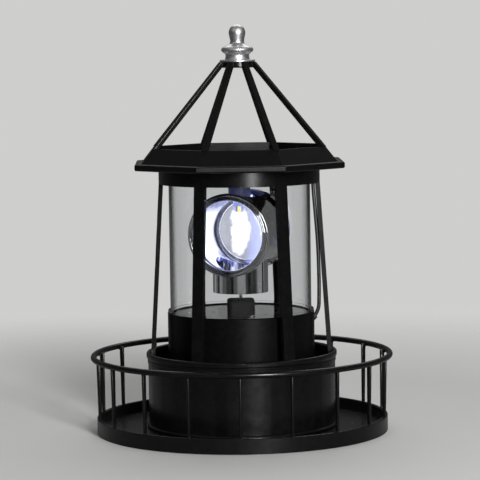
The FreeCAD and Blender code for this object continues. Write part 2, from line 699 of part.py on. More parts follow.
def roof_rods(hub):
    corners = [(mouth_inner, roof_rim), (roof_mouth, roof_rim),
               (rod_end + rod_foot_width, hub_top), (rod_end, hub_top)]
    rod = padded("roof_rod", corners, D.rod_width, plane="XZ_Plane", middle=True)
    MODEL.recompute()
    round_edges(rod, "rod_rounds", D.rod_round,
                lambda edge: edge.Length > D.rod_height.number - TOUCH)
    patterned(rod, 8)
    coped = without("rods_coped", rod, [hub])
    coped.Placement = FreeCAD.Placement(
        FreeCAD.Vector(), FreeCAD.Rotation(FreeCAD.Vector(0, 0, 1), 22.5))
    keep(coped, "roof_rods")


def finial():
    base = hub_top
    half_disc = D.finial_disc_height / 2
    collar = base + D.finial_collar_height
    waist = base + D.finial_waist_height
    neck = base + D.finial_neck_height
    knob = base + D.finial_knob_height
    collar_arc = D.finial_collar_half
    shoulder = D.finial_collar - collar_arc
    knob_side = other_side(D.finial_knob, D.finial_knob_drop)
    corners = [
        (NOTHING, hub_bottom), (D.stud_radius, hub_bottom), (D.stud_radius, base),
        (D.finial_disc - half_disc, base), (D.finial_disc, base + half_disc),
        (D.finial_disc - half_disc, base + D.finial_disc_height),
        (D.finial_waist, waist), (shoulder, collar - collar_arc),
        (D.finial_collar, collar), (shoulder, collar + collar_arc),
        (D.finial_neck, neck), (knob_side, knob - D.finial_knob_drop),
        (D.finial_knob, knob), (NOTHING, knob + D.finial_knob)]
    rounds = {3: (half_disc, 1), 4: (half_disc, 1), 5: (D.disc_cove, -1), 6: (D.waist_cove, -1),
              7: (collar_arc, 1), 8: (collar_arc, 1), 9: (D.neck_cove, -1), 10: (D.knob_cove, -1),
              11: (D.finial_knob, 1), 12: (D.finial_knob, 1)}
    keep(revolved("finial_turned", corners, rounds), "finial")


# ---------------------------------------------------------------- beacon head
def lying(item, flip=0):
    """Lay a piece along the beacon's line of sight; flip is 180 for the side that looks back."""
    tilt = FreeCAD.Rotation(FreeCAD.Vector(1, 0, 0), 90)
    turn = FreeCAD.Rotation(FreeCAD.Vector(0, 0, 1), D.head_turn.number + flip)
    item.Placement = FreeCAD.Placement(FreeCAD.Vector(), turn * tilt)
    item.setExpression("Placement.Base.z", head_height.text)
    return item


def head_body():
    barrel_inner = D.barrel_radius - D.barrel_wall
    skirt_inner = D.skirt_radius - D.skirt_wall
    skirt_length = head_height - skirt_bottom
    barrel = lying(revolved("barrel_solid", [
        (NOTHING, -D.barrel_half), (D.barrel_radius, -D.barrel_half),
        (D.barrel_radius, D.barrel_half), (NOTHING, D.barrel_half)]))
    skirt = cylinder("skirt_solid", D.skirt_radius, skirt_length, z=skirt_bottom)
    outside = joined("head_outside", [barrel, skirt])
    barrel_bore = lying(revolved("barrel_bore", [
        (NOTHING, -D.barrel_half), (barrel_inner, -D.barrel_half),
        (barrel_inner, D.barrel_half), (NOTHING, D.barrel_half)]))
    skirt_bore = cylinder("skirt_bore", skirt_inner, skirt_length, z=skirt_bottom)
    lamp_hole = cylinder("head_lamp_hole", holder_radius + D.lamp_gap, D.barrel_radius * 2,
                         z=head_height)
    hollow = without("head_hollow", outside, [barrel_bore, skirt_bore, lamp_hole])
    web = cylinder("head_web", skirt_inner, D.web_thickness, z=web_bottom)
    boss = cylinder("head_boss", D.shaft_radius + D.boss_wall, D.boss_length, z=boss_bottom)
    whole = joined("head_whole", [hollow, web, boss])
    bore = cylinder("head_bore", D.shaft_radius, D.boss_length + D.web_thickness, z=boss_bottom)
    keep(without("head_bored", whole, [bore]), "head_body")


def lens_parts():
    sleeve = D.barrel_radius + D.close_fit
    seat = D.barrel_half + D.lens_edge
    back = D.barrel_half - D.lens_ring_back
    front = D.barrel_half + D.lens_ring_front
    round_off = (lens_ring_radius - lens_ring_inner) / 2
    ring = [
        (sleeve, back), (lens_ring_radius, back), (lens_ring_radius, front - round_off),
        (lens_ring_radius - round_off, front), (lens_ring_inner, front - round_off),
        (lens_ring_inner, seat), (sleeve, seat)]
    ring_rounds = {2: (round_off, 1), 3: (round_off, 1)}
    edge = D.barrel_radius - D.close_fit
    lens_inner = lens_ring_inner - D.close_fit
    dome = (lens_inner * lens_inner + D.lens_dome * D.lens_dome) / (D.lens_dome * 2)
    lens = [(NOTHING, D.barrel_half), (edge, D.barrel_half), (edge, seat),
            (lens_inner, seat), (NOTHING, seat + D.lens_dome)]
    for side, flip in (("front", 0), ("rear", 180)):
        keep(lying(revolved(side + "_ring_turned", ring, ring_rounds), flip), side + "_lens_ring")
        keep(lying(revolved(side + "_lens_turned", lens, {3: (dome, 1)}), flip), side + "_lens")


def drive_shaft():
    low = case_floor_top + D.journal_depth
    length = web_top + D.shaft_end - low
    keep(cylinder("shaft", D.shaft_radius, length, z=low), "drive_shaft")


# ---------------------------------------------------------------- lamp
def lamp():
    holder_bottom = roof_bottom - D.holder_length
    holder_flange = holder_radius + D.holder_rim
    led_seat = holder_bottom + D.holder_lip
    led_socket = D.led_radius + D.led_rim + D.close_fit
    corners = [
        (D.led_radius + D.close_fit, holder_bottom), (holder_radius, holder_bottom),
        (holder_radius, roof_floor_top), (holder_flange, roof_floor_top),
        (holder_flange, led_board_bottom), (led_socket, led_board_bottom),
        (led_socket, led_seat), (D.led_radius + D.close_fit, led_seat)]
    keep(revolved("holder_tube", corners), "led_holder")
    rim_top = led_seat + D.led_rim * 2
    dome = led_seat - D.led_length + D.led_radius
    body = revolved("led_body", [
        (NOTHING, dome - D.led_radius), (D.led_radius, dome), (D.led_radius, led_seat),
        (D.led_radius + D.led_rim, led_seat), (D.led_radius + D.led_rim, rim_top),
        (NOTHING, rim_top)], {0: (D.led_radius, 1)})
    legs = [cylinder("led_leg_%d" % (side + 1), D.led_leg, led_board_bottom - rim_top,
                     x=D.led_leg_spread * side, z=rim_top) for side in (-1, 1)]
    keep(joined("led_whole", [body] + legs), "lamp_led")
    length = D.led_board_left + led_board_end
    board = block("led_board_block", length, D.led_board_width, D.led_board_thickness,
                  led_board_end - length / 2, NOTHING, led_board_bottom)
    keep(board, "led_board")


# ---------------------------------------------------------------- gear train
# Tooth shape: angle in degrees, foot and head in modules, tooth's share of the pitch.
PRESSURE_ANGLE = 20
TOOTH_FOOT = 1.2
TOOTH_HEAD = 0.8
TOOTH_SHARE = 0.44


def idler_x():
    return D.gear_module * (D.pinion_teeth + D.wheel_teeth) / 2


def motor_place():
    distance = idler_x()
    angle = math.radians(D.motor_side.number)
    return distance + distance * math.cos(angle), distance * math.sin(angle)


def tip_radius(teeth):
    """How far a gear's teeth reach from its axis."""
    return D.gear_module * teeth / 2 + D.gear_module * TOOTH_HEAD


def ear_places():
    distance = tip_radius(D.wheel_teeth) + D.case_gap + D.case_wall + D.ear_step
    return [(-distance, NOTHING), (idler_x(), -distance), (NOTHING, distance)]


def involute(angle):
    return math.tan(angle) - angle


def gear_solid(teeth, first, low, width, bore):
    """A spur gear; first is the direction in degrees of the middle of one tooth."""
    module = D.gear_module.number
    pressure = math.radians(PRESSURE_ANGLE)
    pitch = module * teeth / 2
    base = pitch * math.cos(pressure)
    root = pitch - TOOTH_FOOT * module
    tip = pitch + TOOTH_HEAD * module
    half_tooth = TOOTH_SHARE * math.pi / teeth
    radii = [max(root, base), pitch, (pitch + tip) / 2, tip]
    flank = [(root, half_tooth + involute(pressure))]
    for radius in radii:
        lean = math.acos(min(base / radius, 1.0))
        flank.append((radius, half_tooth + involute(pressure) - involute(lean)))
    points = []
    for tooth in range(teeth):
        middle = math.radians(first) + 2 * math.pi * tooth / teeth
        sides = [(radius, middle - half) for radius, half in flank]
        sides += [(radius, middle + half) for radius, half in reversed(flank)]
        for radius, angle in sides:
            points.append(FreeCAD.Vector(radius * math.cos(angle), radius * math.sin(angle), low))
    unlike = [point for row, point in enumerate(points) if (point - points[row - 1]).Length > 1e-6]
    wire = Part.makePolygon(unlike + [unlike[0]])
    gear = Part.Face(wire).extrude(FreeCAD.Vector(0, 0, width))
    return gear.cut(Part.makeCylinder(bore, width, FreeCAD.Vector(0, 0, low))) if bore else gear


def gear_train():
    pinion = int(D.pinion_teeth.number)
    wheel = int(D.wheel_teeth.number)
    half_step = 180 / pinion
    low = low_wheel.number
    high = high_wheel.number
    width = D.wheel_width.number
    foot = FreeCAD.Vector(0, 0, high)
    hub = Part.makeCylinder(gear_hub.number, gear_hub_height.number, foot)
    hub = hub.cut(Part.makeCylinder(D.shaft_radius.number, gear_hub_height.number, foot))
    drive = gear_solid(wheel, 0, high, width, D.shaft_radius.number).fuse(hub)
    keep(made("drive_wheel", drive.removeSplitter()), "drive_gear")
    bore = D.pin_radius.number + D.close_fit.number
    side = D.motor_side.number
    idler = gear_solid(wheel, side, low, width, bore)
    reach = high + D.pinion_reach.number - low
    idler = idler.fuse(gear_solid(pinion, 180 + half_step, low + width, reach, bore))
    idler_gear = keep(made("idler_wheel", idler.removeSplitter()), "idler_gear")
    place(idler_gear, x=idler_x())
    x, y = motor_place()
    spindle_low = (case_bottom - D.spindle_reach).number
    margin = D.pinion_margin.number
    gear = gear_solid(pinion, side + 180 + half_step, low - margin, width + margin * 2, 0)
    spindle = Part.makeCylinder(D.motor_shaft.number, low - spindle_low,
                                FreeCAD.Vector(0, 0, spindle_low))
    place(keep(made("pinion", gear.fuse(spindle).removeSplitter()), "motor_pinion"), x, y)
    keep(cylinder("idler_pin_rod", D.pin_radius, case_top - case_bottom, x=idler_x(),
                  z=case_bottom), "idler_pin")


def gear_case():
    x, y = motor_place()
    height = case_top - case_bottom
    inner_height = height - D.case_floor
    wheel_room = tip_radius(D.wheel_teeth) + D.case_gap
    spots = [(NOTHING, NOTHING, wheel_room), (idler_x(), NOTHING, wheel_room),
             (x, y, tip_radius(D.pinion_teeth) + D.motor_gap)]
    outer = [cylinder("case_outer_%d" % row, radius + D.case_wall, height, px, py, case_bottom)
             for row, (px, py, radius) in enumerate(spots)]
    inner = [cylinder("case_inner_%d" % row, radius, inner_height, px, py, case_floor_top)
             for row, (px, py, radius) in enumerate(spots)]
    ears = [cylinder("case_ear_%d" % row, D.ear_radius, D.ear_height, px, py, case_top - D.ear_height)
            for row, (px, py) in enumerate(ear_places())]
    hollow = without("case_hollow", joined("case_block", outer + ears), inner)
    journal_top = high_wheel - D.journal_gap
    journal_radius = D.shaft_radius + D.shaft_gap + D.journal_wall
    journal = cylinder("case_journal", journal_radius, journal_top - case_floor_top,
                       z=case_floor_top)
    whole = joined("case_whole", [hollow, journal])
    journal_floor = case_floor_top + D.journal_depth
    bores = [
        cylinder("case_journal_bore", D.shaft_radius + D.shaft_gap, journal_top - journal_floor,
                 z=journal_floor),
        cylinder("case_pin_bore", D.pin_radius, D.case_floor, x=idler_x(), z=case_bottom),
        cylinder("case_motor_bore", D.motor_shaft * 2, D.case_floor, x, y, case_bottom)]
    for row, (px, py) in enumerate(ear_places()):
        bores.append(cylinder("case_ear_bore_%d" % row, D.thin_shank + D.close_fit, D.ear_height,
                              px, py, case_top - D.ear_height))
    keep(without("case_bored", whole, bores), "gear_case")
    can = cylinder("motor_can", D.motor_radius, D.motor_length, x, y, case_bottom - D.motor_length)
    throat = cylinder("motor_throat", D.motor_shaft + D.shaft_gap, D.throat_depth, x, y,
                      case_bottom - D.throat_depth)
    keep(without("motor_bored", can, [throat]), "motor")


def ear_screws():
    """Screws that hold the gear case up to the floor of the cup."""
    seat = case_top - D.ear_height
    reach = D.ear_height + D.floor_thickness - D.tip_gap
    screws = []
    for x, y in ear_places():
        foot = FreeCAD.Vector(x.number, y.number, seat.number)
        low = foot - FreeCAD.Vector(0, 0, D.screw_head_height.number)
        head = Part.makeCylinder(D.thin_head.number, D.screw_head_height.number, low)
        screws.append(head.fuse(Part.makeCylinder(D.thin_shank.number, reach.number, foot)))
    keep(made("ear_screw_group", Part.makeCompound(screws)), "gear_case_screws")


# ---------------------------------------------------------------- base
def base_cover():
    disc = cylinder("base_disc", deck_opening - D.loose_fit, D.base_cover_thickness,
                    z=D.deck_lift)
    bay_height = bay_top - D.deck_lift
    bay_outer = block("bay_outer", bay_length + D.bay_wall * 2, bay_width + D.bay_wall * 2,
                      bay_height + D.bay_wall, NOTHING, bay_centre, D.deck_lift)
    bay_inner = block("bay_inner", bay_length, bay_width, bay_height, NOTHING, bay_centre,
                      D.deck_lift)
    posts = []
    bores = []
    for row, (x, y) in enumerate(board_posts()):
        height = board_bottom - cover_top
        posts.append(cylinder("board_post_%d" % row, D.board_post, height, x, y, cover_top))
        bores.append(cylinder("board_post_bore_%d" % row, D.thin_shank + D.close_fit, height,
                              x, y, cover_top))
    slot_length = D.slider_length + D.slider_travel + D.loose_fit
    slot = block("switch_slot", slot_length, D.slider_width + D.loose_fit, D.base_cover_thickness,
                 D.switch_x, switch_y, D.deck_lift)
    holes = screw_holes("cover", "base_screw_hole", post_circle, D.deck_lift,
                        D.base_cover_thickness, D.screw_shank)
    whole = joined("base_whole", [disc, bay_outer] + posts)
    keep(without("base_cut", whole, [bay_inner, slot] + bores + holes), "base_cover")
    door = block("door_plate", bay_length - D.door_gap * 2, bay_width - D.door_gap * 2,
                 D.base_cover_thickness, NOTHING, bay_centre, D.deck_lift)
    grip = block("door_grip", D.grip_length, D.grip_width, D.base_cover_thickness / 2,
                 bay_length / 2 - D.grip_inset, bay_centre, D.deck_lift)
    keep(without("door_cut", door, [grip]), "battery_door")


def board_posts():
    left = D.board_margin - D.board_left
    right = D.board_length - D.board_left - D.board_margin
    back = board_front + D.board_width - D.board_margin
    return [(left, back), (right, back)]


def battery():
    start = -(bay_length / 2 - D.contact_thickness - D.spring_length)
    cell = revolved("cell_turned", [
        (NOTHING, NOTHING), (D.cell_radius, NOTHING), (D.cell_radius, D.cell_length),
        (D.cell_nub, D.cell_length), (D.cell_nub, D.cell_length + D.cell_nub_length),
        (NOTHING, D.cell_length + D.cell_nub_length)])
    spring = revolved("spring_turned", [
        (NOTHING, NOTHING), (D.spring_radius, NOTHING), (D.spring_tip, D.spring_length),
        (NOTHING, D.spring_length)])
    lay = FreeCAD.Rotation(FreeCAD.Vector(0, 1, 0), 90)
    for item, x in ((cell, start), (spring, start - D.spring_length)):
        item.Placement = FreeCAD.Placement(FreeCAD.Vector(), lay)
        place(item, x, bay_centre, cell_height)
    keep(cell, "battery")
    plate_x = bay_length / 2 - D.contact_thickness / 2
    low = cell_height - D.contact_height / 2
    left_plate = block("spring_plate", D.contact_thickness, D.contact_width, D.contact_height,
                       -plate_x, bay_centre, low)
    keep(joined("spring_whole", [spring, left_plate]), "battery_spring")
    tab_end = start + D.cell_length + D.cell_nub_length
    right_plate = block("contact_plate", D.contact_thickness, D.contact_width, D.contact_height,
                        plate_x, bay_centre, low)
    tab = block("contact_tab", D.tab_length, D.cell_nub, D.cell_nub, tab_end + D.tab_length / 2,
                bay_centre, cell_height - D.cell_nub / 2)
    keep(joined("contact_whole", [right_plate, tab]), "battery_contact")


def electronics():
    board = block("board_block", D.board_length, D.board_width, D.board_thickness,
                  D.board_length / 2 - D.board_left, board_front + D.board_width / 2,
                  board_bottom)
    holes = [cylinder("board_hole_%d" % row, D.thin_shank + D.close_fit, D.board_thickness,
                      x, y, board_bottom) for row, (x, y) in enumerate(board_posts())]
    keep(without("board_drilled", board, holes), "circuit_board")
    screws = []
    for x, y in board_posts():
        foot = FreeCAD.Vector(x.number, y.number, board_top.number)
        head = Part.makeCylinder(D.thin_head.number, D.screw_head_height.number, foot)
        shank = Part.makeCylinder(D.thin_shank.number, D.board_screw_reach.number,
                                  foot - FreeCAD.Vector(0, 0, D.board_screw_reach.number))
        screws.append(head.fuse(shank))
    keep(made("board_screw_group", Part.makeCompound(screws)), "board_screws")
    switch_bottom = board_bottom - D.switch_height
    body = block("switch_block", D.switch_length, D.switch_width, D.switch_height,
                 D.switch_x, switch_y, switch_bottom)
    slot_length = D.slider_length + D.slider_travel + D.loose_fit
    slot = block("switch_body_slot", slot_length, D.slider_width + D.close_fit * 2,
                 D.slider_depth + D.close_fit, D.switch_x, switch_y, switch_bottom)
    keep(without("switch_cut", body, [slot]), "switch_body")
    slider_low = D.deck_lift + D.slider_tip
    slider_high = switch_bottom + D.slider_depth
    knob = block("slider_block", D.slider_length, D.slider_width, slider_high - slider_low,
                 D.switch_x - D.slider_travel / 2, switch_y, slider_low)
    keep(knob, "switch_slider")


# ---------------------------------------------------------------- lead from the roof to the base
# The part of a straight run that each of its two bends may take.
BEND_SHARE = 0.45


def lead_route():
    """The lead's corners, chosen by hand: down beside the window, through the cup, to the board."""
    out = lead_exit.number
    rim = cup_rim.number
    inside = cup_inner.number
    shelf = shelf_top.number
    return [FreeCAD.Vector(*spot) for spot in (
        (out, 0, led_board_bottom.number), (out, 0, band_bottom.number - 0.8),
        (out + 2.0, 0, rim + 28.3), (out + 2.3, 0, rim + 10.3), (out + 2.0, 0, rim - 1.1),
        (inside - 2.2, 0, rim - 6.8), (inside - 2.6, 0.4, shelf + 13.8),
        (inside - 5.0, 5.0, shelf + 4.8), (inside - 8.5, 12.0, shelf - 2.7),
        (inside - 8.5, 12.0, board_top.number))]


def lead_path(route):
    """Straight runs joined by tangent arcs, each as large as its two runs allow."""
    edges = []
    last = route[0]
    for row in range(1, len(route) - 1):
        corner = route[row]
        before = route[row - 1] - corner
        after = route[row + 1] - corner
        run = BEND_SHARE * min(before.Length, after.Length)
        start = corner + before.normalize() * run
        end = corner + after.normalize() * run
        half_turn = (math.pi - before.getAngle(after)) / 2
        radius = run / math.tan(half_turn)
        centre = corner + (before + after).normalize() * math.hypot(run, radius)
        middle = centre + (corner - centre).normalize() * radius
        print("lead radius at corner %d: %.1f mm" % (row, radius))
        edges.append(Part.LineSegment(last, start).toShape())
        edges.append(Part.Arc(start, middle, end).toShape())
        last = end
    edges.append(Part.LineSegment(last, route[-1]).toShape())
    return Part.Wire(edges)


def power_lead():
    path = lead_path(lead_route())
    start = lead_route()[0]
    ring = Part.Wire([Part.makeCircle(D.lead_radius.number, start, FreeCAD.Vector(0, 0, -1))])
    tube = path.makePipeShell([ring], True, True)
    print("lead: %.1f mm long, volume ratio %.4f" % (
        path.Length, tube.Volume / (path.Length * math.pi * D.lead_radius.number ** 2)))
    keep(made("lead_tube", tube), "power_lead")
    return tube


def grommet_cylinder(radius, length):
    """A rod along the lead where it goes through the wall of the cup."""
    route = lead_route()
    outside = route[4]
    inside = route[5]
    way = (inside - outside).normalize()
    step = (outside.x - cup_radius.number + D.cup_wall.number / 2) / -way.x
    middle = outside + way * step
    return Part.makeCylinder(radius, length, middle - way * (length / 2), way)


def lead_grommet(tube):
    radius = D.lead_radius + D.grommet_wall
    sleeve = grommet_cylinder(radius.number, D.grommet_length.number)
    keep(made("grommet_sleeve", sleeve.cut(tube)), "lead_grommet")


# ---------------------------------------------------------------- build and write
def build():
    gallery_tray()
    rail = gallery_rail()
    gallery_balusters(rail)
    drum_shell()
    lamp_cup()
    cup_floor()
    shaft_cover()
    window_glass()
    lantern_frame()
    roof_hood()
    roof_bezel()
    hub = roof_hub()
    roof_rods(hub)
    finial()
    head_body()
    lens_parts()
    drive_shaft()
    lamp()
    gear_train()
    gear_case()
    ear_screws()
    base_cover()
    battery()
    electronics()
    lead_grommet(power_lead())
    screw_ring("tray", tray_screw_circle, D.deck_lift, 1,
               D.deck_thickness + D.foot_thickness - D.tip_gap * 2)
    screw_ring("cover", post_circle, D.deck_lift, 1, D.post_screw_reach)
    screw_ring("frame", frame_screw_circle, flange_top + D.frame_ring_height, -1,
               D.frame_ring_height + D.cup_flange + D.shelf_thickness - D.tip_gap * 2,
               head=D.thin_head, shank=D.thin_shank)
    screw_ring("roof", roof_screw_circle, roof_floor_top, -1,
               D.roof_floor + D.band_flange_height - D.tip_gap,
               head=D.thin_head, shank=D.thin_shank)
    MODEL.recompute()


def check():
    """Stop on a feature that failed, or a piece that is empty or broken."""
    for item in MODEL.Objects:
        states = [state for state in item.State if state in ("Invalid", "Error")]
        if states:
            raise RuntimeError("%s is %s" % (item.Name, states))
    for label, item in NODES.items():
        if item.Shape.isNull() or not item.Shape.isValid() or not item.Shape.Solids:
            raise RuntimeError("%s has no sound shape" % label)


def write():
    os.makedirs("parts", exist_ok=True)
    for label, item in NODES.items():
        item.Shape.exportStep("parts/%s.step" % label)
        print("%-18s %2d solid(s) %10.2f mm3" % (label, len(item.Shape.Solids), item.Shape.Volume))


build()
check()
write()
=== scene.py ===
import math

import bmesh
import bpy
from bpy.props import FloatProperty, FloatVectorProperty, IntProperty, PointerProperty
from mathutils import Matrix, Vector


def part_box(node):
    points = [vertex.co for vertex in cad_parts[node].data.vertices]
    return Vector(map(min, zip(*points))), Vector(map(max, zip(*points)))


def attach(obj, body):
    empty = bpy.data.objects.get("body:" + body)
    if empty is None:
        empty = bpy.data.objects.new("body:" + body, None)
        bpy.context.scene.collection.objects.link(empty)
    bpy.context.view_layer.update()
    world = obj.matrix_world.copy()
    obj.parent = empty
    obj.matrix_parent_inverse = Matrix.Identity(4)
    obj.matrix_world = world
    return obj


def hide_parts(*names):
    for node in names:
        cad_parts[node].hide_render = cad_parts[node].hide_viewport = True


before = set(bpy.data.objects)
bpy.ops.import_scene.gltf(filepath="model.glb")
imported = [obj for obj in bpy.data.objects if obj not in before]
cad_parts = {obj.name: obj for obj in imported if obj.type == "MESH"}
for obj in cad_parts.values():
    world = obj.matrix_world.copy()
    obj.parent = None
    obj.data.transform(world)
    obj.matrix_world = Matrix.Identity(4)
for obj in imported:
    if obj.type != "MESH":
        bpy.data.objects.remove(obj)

bl_info = {
    "name": "Garden Lighthouse",
    "version": (1, 0, 0),
    "blender": (4, 5, 0),
    "location": "View3D > Sidebar > Lighthouse",
    "description": "Finishes the garden lighthouse lantern and sets up its stage",
    "category": "Object",
}

MM = 0.001
SHARP_FROM = math.radians(32)
WELD_DISTANCE = 1e-7
ON_AXIS = 1e-9
SCREW_TURN_SEED = 7
SENSOR_WIDTH = 36
CLIP_START = 0.01
FLOOR_RADIUS = 0.5


# ---------- places read from the frame
def low(node):
    return Vector(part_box(node)[0])


def high(node):
    return Vector(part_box(node)[1])


def centre(node):
    return (low(node) + high(node)) / 2


def beacon_axis():
    """The beacon's line of sight, from the rear lens to the front lens."""
    return (centre("front_lens") - centre("rear_lens")).normalized()


def beacon_middle():
    """Where the line of sight crosses the axis that the head turns about."""
    middle = centre("head_body")
    middle.z = centre("front_lens").z
    return middle


# ---------- settings that a user would change
def colour_setting(name, description, default):
    return FloatVectorProperty(name=name, description=description, default=default,
                               subtype="COLOR", size=3, min=0, max=1)


def length_setting(name, description, default):
    return FloatProperty(name=name, description=description, default=default, unit="LENGTH")


def angle_setting(name, description, default):
    return FloatProperty(name=name, description=description, default=default, subtype="ANGLE")


class LIGHTHOUSE_PG_paint(bpy.types.PropertyGroup):
    """Colours of the painted and moulded outside."""

    black: colour_setting(
        "Black", "Satin black of the metal parts", (0.0018, 0.0018, 0.0019))
    black_light: colour_setting(
        "Black, lighter", "The lighter of the paint's two tones", (0.0034, 0.0034, 0.0036))
    plastic: colour_setting(
        "Plastic", "Black of the moulded parts", (0.0018, 0.0018, 0.0019))
    plastic_light: colour_setting(
        "Plastic, lighter", "The lighter of the plastic's two tones", (0.0032, 0.0032, 0.0034))


class LIGHTHOUSE_PG_lamp(bpy.types.PropertyGroup):
    """The lamp's light."""

    glow: colour_setting("Glow", "Colour of the lamp's light in the head", (0.86, 0.88, 1.0))
    glow_edge: colour_setting("Glow edge", "Colour where the light fades", (0.02, 0.035, 0.2))
    strength: FloatProperty(
        name="Strength", description="How strongly the inside of the head glows", default=1.4,
        min=0, max=20)
    glare_width: length_setting("Glare width", "Width of the glare on the far lens", 7.5 * MM)
    glare_shift: length_setting("Glare shift", "How far the glare lies to the left", 5.5 * MM)
    glare_height: length_setting("Glare height", "Height of the glare on the far lens", 20 * MM)


class LIGHTHOUSE_PG_details(bpy.types.PropertyGroup):
    """Sizes of the small details."""

    frame_circle: length_setting(
        "Frame screw circle", "Radius of the ring of frame screws", 37.43 * MM)
    tray_circle: length_setting(
        "Tray screw circle", "Radius of the ring of tray screws", 37.23 * MM)
    cover_circle: length_setting(
        "Cover screw circle", "Radius of the ring of cover screws", 32.0 * MM)
    roof_circle: length_setting(
        "Roof screw circle", "Radius of the ring of roof screws", 32.8 * MM)
    head_radius: length_setting("Screw head", "Radius of the larger screw heads", 1.7 * MM)
    thin_head_radius: length_setting(
        "Thin screw head", "Radius of the smaller screw heads", 1.45 * MM)
    head_height: length_setting("Head height", "Height of every screw head", 0.9 * MM)
    shank_radius: length_setting("Shank", "Radius of the larger screws' shanks", 1.0 * MM)
    thin_shank_radius: length_setting(
        "Thin shank", "Radius of the smaller screws' shanks", 0.8 * MM)
    baluster_count: IntProperty(
        name="Balusters", description="How many bars carry the rail", default=18, min=3)
    baluster_turn: angle_setting(
        "Baluster turn", "Direction of the first bar from +X", math.radians(-91.8))
    bar_circle: length_setting(
        "Bar circle", "From the axis to the inner side of the bars", 60.9 * MM)
    bar_width: length_setting("Bar width", "Width of a bar", 1.2 * MM)
    bar_depth: length_setting("Bar depth", "Depth of a bar at its foot", 1.45 * MM)
    bar_flare: length_setting("Bar flare", "How much deeper a bar is at its top", 0.58 * MM)
    bar_rounding: length_setting("Bar rounding", "How far a bar's edges are rounded", 0.45 * MM)
    bead_radius: length_setting(
        "Weld bead", "Half the width of a weld bead on a bar", 0.75 * MM)
    cell_strips: IntProperty(
        name="Cell strips", description="How many strips the solar panel has", default=6, min=1)


class LIGHTHOUSE_PG_stage(bpy.types.PropertyGroup):
    """The camera, the floor and the backdrop."""

    distance: length_setting("Distance", "From the lantern's axis to the camera", 1.0069)
    height: length_setting("Height", "Height of the camera", 0.1701)
    side_turn: angle_setting(
        "Side turn", "How far the camera stands round to the left of the front", 0.0179)
    pitch: angle_setting("Pitch", "How far the camera looks down", 0.0872)
    roll: angle_setting("Roll", "How far the camera leans", -0.0145)
    focal_length: FloatProperty(
        name="Focal length", description="In millimetres on a 36 mm sensor", default=176.6)
    floor_colour: colour_setting("Floor", "Colour of the floor", (0.62, 0.62, 0.61))
    backdrop_colour: colour_setting(
        "Backdrop", "Colour behind the lantern", (0.62, 0.62, 0.61))


# ---------- node trees
def spaced(inputs):
    """Socket names as the nodes have them, with a space for each underscore."""
    return {key.replace("_", " "): value for key, value in inputs.items()}


class Graph:
    """A short way to add and join the nodes of one tree."""

    def __init__(self, tree):
        self.tree = tree

    def add(self, kind, inputs=None, **settings):
        node = self.tree.nodes.new(kind)
        for name, value in settings.items():
            setattr(node, name, value)
        for key, value in (inputs or {}).items():
            self.set(node.inputs[key], value)
        return node

    def set(self, socket, value):
        """Join a socket to another one, or give it a value, where a colour has three parts."""
        if isinstance(value, bpy.types.NodeSocket):
            self.tree.links.new(value, socket)
        elif socket.type == "RGBA":
            socket.default_value = (*value, 1)
        else:
            socket.default_value = value

    def maths(self, operation, first, second=0.0):
        return self.add("ShaderNodeMath", {0: first, 1: second}, operation=operation).outputs[0]

    def times(self, first, second):
        return self.maths("MULTIPLY", first, second)

    def below(self, value, limit):
        """1 where the value is under the limit, else 0."""
        return self.maths("LESS_THAN", value, limit)

    def over(self, value, limit):
        """1 where the value is over the limit, else 0."""
        return self.maths("GREATER_THAN", value, limit)

    def size_of(self, value):
        """A value without its sign."""
        return self.maths("ABSOLUTE", value)

    def vector_maths(self, operation, first, second=(0, 0, 0)):
        outputs = self.add("ShaderNodeVectorMath", {0: first, 1: second},
                           operation=operation).outputs
        return outputs["Value" if operation in ("DOT_PRODUCT", "LENGTH") else "Vector"]

    def split(self, vector):
        return self.add("ShaderNodeSeparateXYZ", {"Vector": vector}).outputs

    def combine(self, **parts):
        return self.add("ShaderNodeCombineXYZ", parts).outputs["Vector"]

    def ramp(self, value, start, end, first=0.0, last=1.0):
        """A number that goes from first to last while the value goes from start to end."""
        return self.add("ShaderNodeMapRange", {
            "Value": value, "From Min": start, "From Max": end, "To Min": first,
            "To Max": last}).outputs["Result"]

    def noise(self, vector, scale, detail, roughness=0.5):
        return self.add("ShaderNodeTexNoise", {
            "Vector": vector, "Scale": scale, "Detail": detail,
            "Roughness": roughness}).outputs["Fac"]

    def mix(self, share, first, second):
        """A colour that goes from the first to the second as the share grows."""
        return self.add("ShaderNodeMix", {"Factor": share, "A": first, "B": second},
                        data_type="RGBA").outputs["Result"]


def group_of(name, kind, inputs, outputs, fill):
    """A node group with named sockets, built the first time it is asked for."""
    tree = bpy.data.node_groups.get(name)
    if tree:
        return tree
    tree = bpy.data.node_groups.new(name, kind)
    for in_out, sockets in (("INPUT", inputs), ("OUTPUT", outputs)):
        for label, value_kind in sockets.items():
            tree.interface.new_socket(label, in_out=in_out, socket_type="NodeSocket" + value_kind)
    graph = Graph(tree)
    fill(graph, graph.add("NodeGroupInput").outputs, graph.add("NodeGroupOutput").inputs)
    return tree


def tone_group():
    """Two tones of one colour, clouded into each other."""
    def fill(graph, given, out):
        clouds = graph.noise(given["Vector"], given["Scale"], detail=4.0, roughness=0.6)
        share = graph.ramp(clouds, 0.35, 0.65)
        graph.set(out["Color"], graph.mix(share, given["Dark"], given["Light"]))
    return group_of("tone", "ShaderNodeTree", {
        "Vector": "Vector", "Scale": "Float", "Dark": "Color", "Light": "Color"},
        {"Color": "Color"}, fill)


